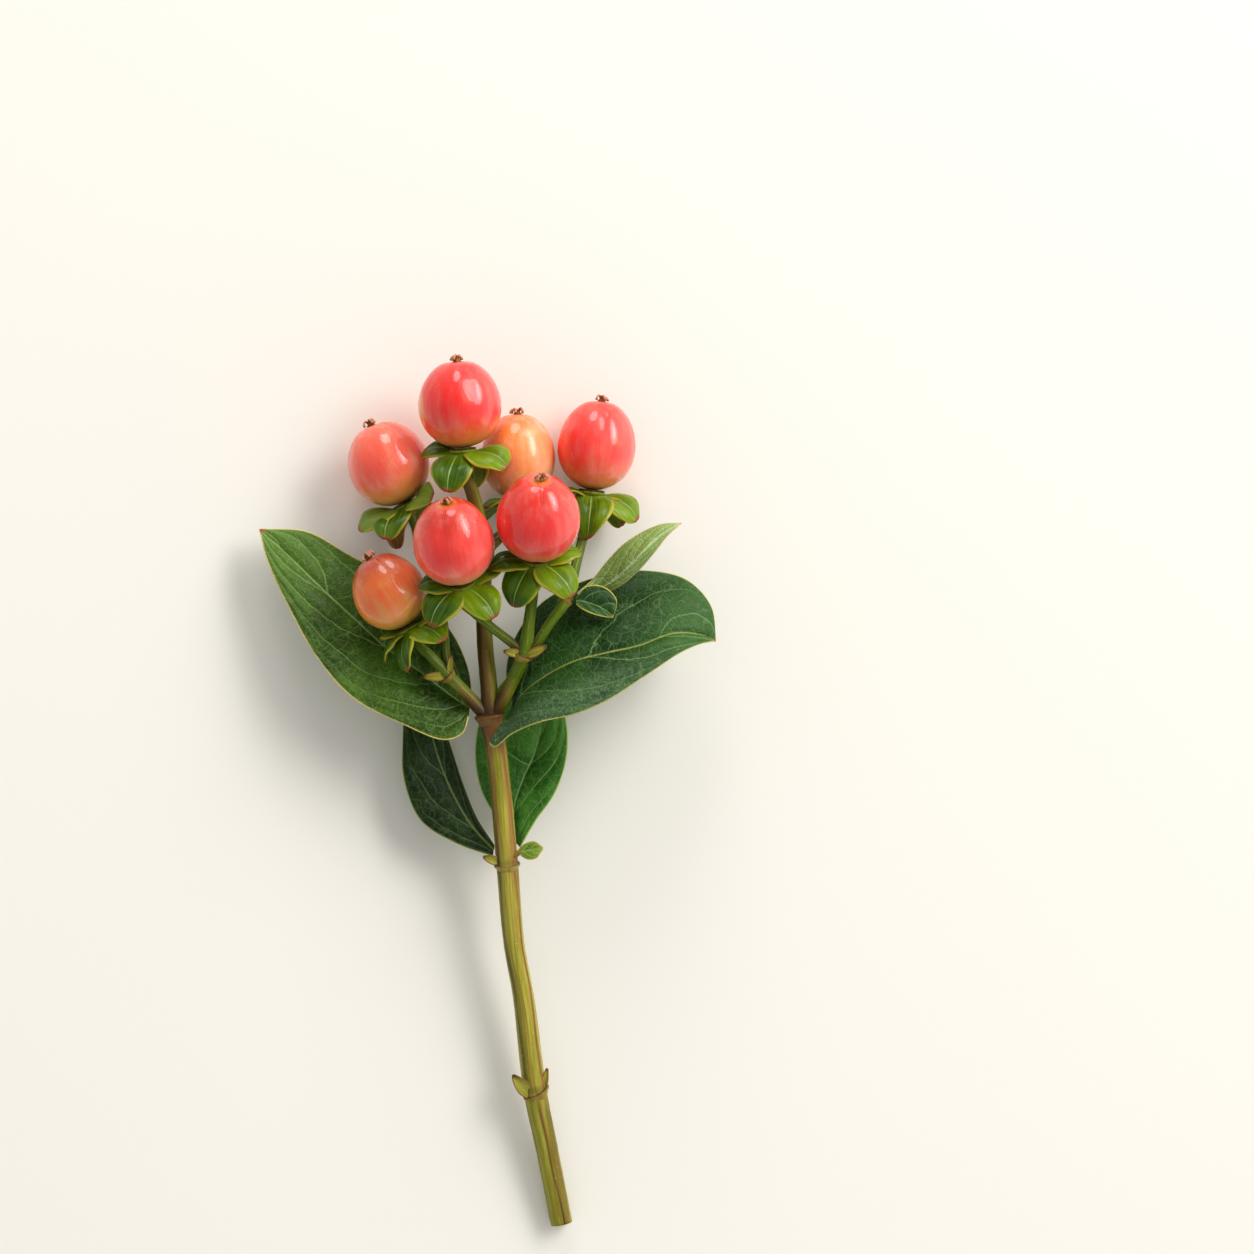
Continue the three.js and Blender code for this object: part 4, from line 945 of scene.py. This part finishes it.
def collar_shell(place, radius, height, facing, sag, ruddy, seed):
    """A joint's swollen ring: its profile turned about the facing direction, with a ragged edge. Its
    upper side sags by a half cosine of the angle from the top."""
    facing = unit(np.array(facing))
    angle = circle(COLLAR_COLUMNS)
    round_ring = circles_across(facing, UP, COLLAR_COLUMNS)
    profile = np.array(COLLAR_PROFILE)
    out = profile[:, :1] * radius * (1 + COLLAR_ROUGH * ripple(round_ring * 2.2, 1.6, seed))
    lengthwise = profile[:, 1:] * height - sag * (0.5 + 0.5 * np.cos(angle))
    rings = np.array(place) + out[..., None] * round_ring + lengthwise[..., None] * facing
    lip = ease(-0.2, 0.4, profile[:, 1:])
    # The ring's top, where the stem above enters it, is darkened with painted shade.
    return ring_shell(rings, grain=bark_grain(radius, angle, seed)[None], **bark_shares(
        tan=np.minimum(0.1 + 0.75 * ruddy + 0.35 * lip, 0.9), purple=0.1 + 0.5 * ruddy + 0.12 * lip,
        dark=0.8 * ease(0.3, 0.6, profile[:, 1:]), pith=lip * max(0.3 - ruddy, 0)))


def scale_shell(root, tip, width, seed):
    """A bract: a small pointed oval from root to tip, its edges raised by the square of s and its tip
    bent by the cube of u."""
    base, along = np.array(root), np.array(tip) - np.array(root)
    across = unit(np.cross(along, UP))
    face = unit(np.cross(across, along))

    def surface(u, s):
        half = width / 2 * np.clip(1.3 - u, 0, 1) ** 0.5 * oval_share(0.8 * u + 0.2 * u ** 4)
        lift = SCALE_CUP * width * s * s + 0.2 * hump(u) - SCALE_BEND * u ** 3
        return base + along * u[..., None] + across * (half * s)[..., None] + face * lift[..., None]

    def fields(u, s):
        edge = ease(0.7, 0.95, np.abs(s))
        return dict(grain=vectors(s * width, 0.0, u * 6 + seed), **bark_shares(
            tan=0.85 * edge, purple=0.25 * edge + 0.5 * ease(0.75, 1, u), dark=0.3 * ease(0.88, 1, u),
            fresh=0.3 * (1 - edge)))

    def relief(u, s):
        return 0.03 * np.cos(6 * s)

    return blade_shell(surface, SCALE_ROWS, SCALE_COLUMNS, SCALE_THICKNESS, relief, fields)


def petiole_shell():
    """The short brown stalk of the axil leaf: a tube from the middle joint that narrows to the leaf."""
    t = np.linspace(0, 1, PETIOLE_ROWS)
    rings = tube_rings(spline(PETIOLE, t), 0.55 - 0.25 * t, PETIOLE_COLUMNS, UP)
    grain = bark_grain(0.5, circle(PETIOLE_COLUMNS), 3 * t[:, None])
    return ring_shell(rings, grain=grain, **bark_shares(tan=0.7, purple=0.3))


def cut_face_shell():
    """The cut end: a shallow disc of concentric rings just inside the bark, paler than the bark."""
    first, second = np.array(MAIN_STEM[:2])
    along = unit(second[:3] - first[:3])
    share, depth, pale = np.array(CUT_RINGS).T[..., None]
    radius = first[3] * share
    rings = first[:3] + circles_across(along, UP, CUT_COLUMNS) * radius[..., None] + depth[..., None] * along
    return ring_shell(rings, grain=bark_grain(radius, circle(CUT_COLUMNS), 0.0), **bark_shares(pith=pale))


def stem_shells():
    """Main stem, branches with their stalks, joint rings, bracts and the cut face."""
    shells = [stem_tube(MAIN_STEM, MAIN_COLUMNS, 1, main_marks)]
    for number, flush, line in BRANCHES:
        stations = line + stalk_stations(FRUITS[number - 1])
        shells.append(stem_tube(stations, BRANCH_COLUMNS, 10 + number, branch_marks, flush))
    shells += [collar_shell(*collar, 50 + k) for k, collar in enumerate(COLLARS)]
    shells += [scale_shell(*scale, 70 + k) for k, scale in enumerate(SCALES)]
    return shells + [petiole_shell(), cut_face_shell()]


# ---- Leaves ----

# Share across, a little past the rim, at which a side vein would run straight along the leaf.
VEIN_LIMIT = 1.15
LEAF_THICKNESS, LEAF_MIDRIB_SINK, LEAF_MIDRIB_WIDTH = 0.42, 0.14, 0.06
RIM_WAVES, RIM_WAVE_SHIFT = 2.6, 0.2


def leaf_shell(grid, arch, veins, near, midrib, far, sweep=3.0, wave=0, sheen=0, far_half_shade=0.5, near_pace=None):
    """A leaf between its ribs: each half is a straight line from midrib to edge, raised by a parabola,
    with the edge waved by a sine and the whole rippled. A side vein lies where u, less a logarithm of
    the distance across, passes a step, so it leaves the midrib steeply and then follows the rim; the
    blade swells between veins and sinks along them and the midrib."""

    def edge_of(u, s):
        paced = u if near_pace is None else np.interp(u, *near_pace)
        return np.where((s < 0)[..., None], spline(near, paced), spline(far, u))

    def surface(u, s):
        share = np.abs(s)
        lift = arch * 4 * share * (1 - share) * hump(u)
        sway = np.sin(TURN * (RIM_WAVES * u + RIM_WAVE_SHIFT * np.sign(s)))
        lift = lift + wave * sway * share ** 4 * hump(u)
        share = share[..., None]
        return spline(midrib, u) * (1 - share) + edge_of(u, s) * share + lift[..., None] * UP

    def phase(u, s):
        return veins * (u + np.log(1 - np.abs(s) / VEIN_LIMIT) / sweep) + 0.3 * s

    def relief(u, s):
        off = np.abs((phase(u, s) % 1) - 0.5)
        inside = hump(np.clip(np.abs(s), 0, 1)) ** 0.7 * hump(np.clip(u, 0, 1)) ** 0.5
        place = surface(u, s)
        waves = 0.14 * ripple(place, 9.0, 5) + 0.07 * ripple(place, 4.0, 6)
        swells = (0.2 * (ease(0, 0.35, off) - 0.5) + waves) * inside * arch
        return swells - LEAF_MIDRIB_SINK * bell(s, LEAF_MIDRIB_WIDTH)

    def fields(u, s):
        # The slope is how fast the veins' phase changes for each millimetre, along and across.
        share = np.abs(s)
        reach = np.linalg.norm(edge_of(u, s) - spline(midrib, u), axis=-1)
        low, high = np.maximum(u - SMALL_STEP, 0), np.minimum(u + SMALL_STEP, 1)
        length = np.linalg.norm(spline(midrib, high) - spline(midrib, low), axis=-1)
        lengthwise = veins * (high - low) / np.maximum(length, SMALL_STEP * 0.1)
        crosswise = veins / (sweep * (VEIN_LIMIT - share) * np.maximum(reach, 0.5))
        return dict(veins=vectors(phase(u, s), np.hypot(lengthwise, crosswise), u),
                    gaps=vectors(share * reach, (1 - share) * reach, share),
                    # Painted sheen on the near half, towards its rim and its base.
                    sheen=sheen * (s < 0) * ease(0.2, 0.7, share) * (1 - ease(0.4, 0.75, u)),
                    # Painted shade over the far half, fading out towards the tip.
                    far_half_shade=far_half_shade * ease(0.0, 0.25, s) * (1 - ease(0.55, 0.95, u)))

    return blade_shell(surface, *grid, LEAF_THICKNESS, relief, fields)


# ---- Making the stem ----

put_together("bark_and_stalks", stem_shells(), stem_finish(), "stem")
for name, (colours, form) in LEAVES.items():
    finish = leaf_finish(f"{name}_skin", *colours)
    put_together(f"{name}_blade", [leaf_shell(**form)], finish, name)

sepal_skin = sepal_finish()
styles = crown_finish()
for number, fruit in enumerate(FRUITS, 1):
    berry, calyx, crown = f"berry_{number}", f"calyx_{number}", f"crown_{number}"
    finish = berry_finish(number, *fruit["skin"])
    put_together(f"{berry}_fruit", [berry_shell(fruit)], finish, berry)
    put_together(f"{calyx}_sepals", calyx_shells(fruit, number), sepal_skin, calyx)
    put_together(f"{crown}_styles", crown_shells(fruit, number), styles, crown)

# ---- Floor, light and camera ----

FLOOR_SIZE = 6.0
FRAME_WIDTH = 200.64 * MM
FRAME_CENTRE = (np.array([22.56, 26.48, 0.0]) - ORIGIN) * MM
VIEW_PLANE = 12 * MM
LENS, SENSOR = 200.0, 36.0
LEFT_GLOW, RIGHT_GLOW, ZENITH_GLOW = 0.78, 0.98, 0.44
KEY_DIRECTION, BACK_DIRECTION = (0.64, 0.52, 0.58), (-0.08, 0.94, 0.31)


def make_floor():
    """A pale floor, far wider than the view, with the faintest cloudiness."""
    mesh = bpy.data.meshes.new("pale_floor")
    corners = [(x * FLOOR_SIZE / 2, y * FLOOR_SIZE / 2, 0) for x, y in ((-1, -1), (1, -1), (1, 1), (-1, 1))]
    mesh.from_pydata(corners, [], [(0, 1, 2, 3)])
    material, start = new_finish("floor_paper", Specular_IOR_Level=0.1)
    cloud = start.object_place().noise(6.0)
    connect(cloud.between("#f6f2e8", "#f8f5ec"), 0.7 + 0.1 * cloud)
    mesh.materials.append(material)
    floor = new_object("pale_floor", mesh)


def soft_box(name, toward, distance, size, watts):
    """An oval light that lies toward a direction from the stem and faces it, its height along
    the floor's Y as far as it can be."""
    data = bpy.data.lights.new(name, "AREA")
    data.shape = "ELLIPSE"
    data.size, data.size_y = size
    data.energy = watts
    data.color = (1.0, 0.99, 0.98)
    light = new_object(name, data)
    light.visible_camera = False
    direction = unit(np.array(toward))
    light.location = FRAME_CENTRE * 0.5 + direction * distance
    light.rotation_mode = "QUATERNION"
    tall = unit(NORTH - direction * (NORTH @ direction))
    axes = np.stack([np.cross(tall, direction), tall, direction], axis=-1)
    light.rotation_quaternion = Matrix(axes).to_quaternion()


def make_light():
    """Pale surroundings, brighter on the right, that dim from the horizon to straight above; a tall key
    box up and to the right with a brighter middle; and a small low box beyond the berries."""
    world = bpy.data.worlds.new("studio")
    world.use_nodes = True
    background = world.node_tree.nodes["Background"]
    background.inputs["Color"].default_value = (1.0, 0.995, 0.985, 1.0)
    right, _, up = Signal(world.node_tree).node("TexCoord").parts()
    horizon = LEFT_GLOW + (RIGHT_GLOW - LEFT_GLOW) * right.rise(-0.8, 0.8)
    glow = horizon - (horizon - ZENITH_GLOW) * up.rise(0.0, 0.8)
    world.node_tree.links.new(glow.socket, background.inputs["Strength"])
    bpy.context.scene.world = world
    soft_box("key_box", KEY_DIRECTION, 1.6, (0.8, 1.6), 16.8)
    soft_box("key_middle", KEY_DIRECTION, 1.55, (0.32, 0.95), 5.0)
    soft_box("back_box", BACK_DIRECTION, 1.0, (0.46, 0.52), 3.4)


def make_camera():
    """A camera straight above, with the frame's width at the stem's middle height."""
    data = bpy.data.cameras.new("camera")
    data.lens, data.sensor_width = LENS, SENSOR
    camera = new_object("camera", data)
    camera.location = (FRAME_CENTRE[0], FRAME_CENTRE[1], VIEW_PLANE + FRAME_WIDTH * LENS / SENSOR)
    bpy.context.scene.camera = camera


make_floor()
make_light()
make_camera()
bpy.context.scene.view_settings.view_transform = "Standard"
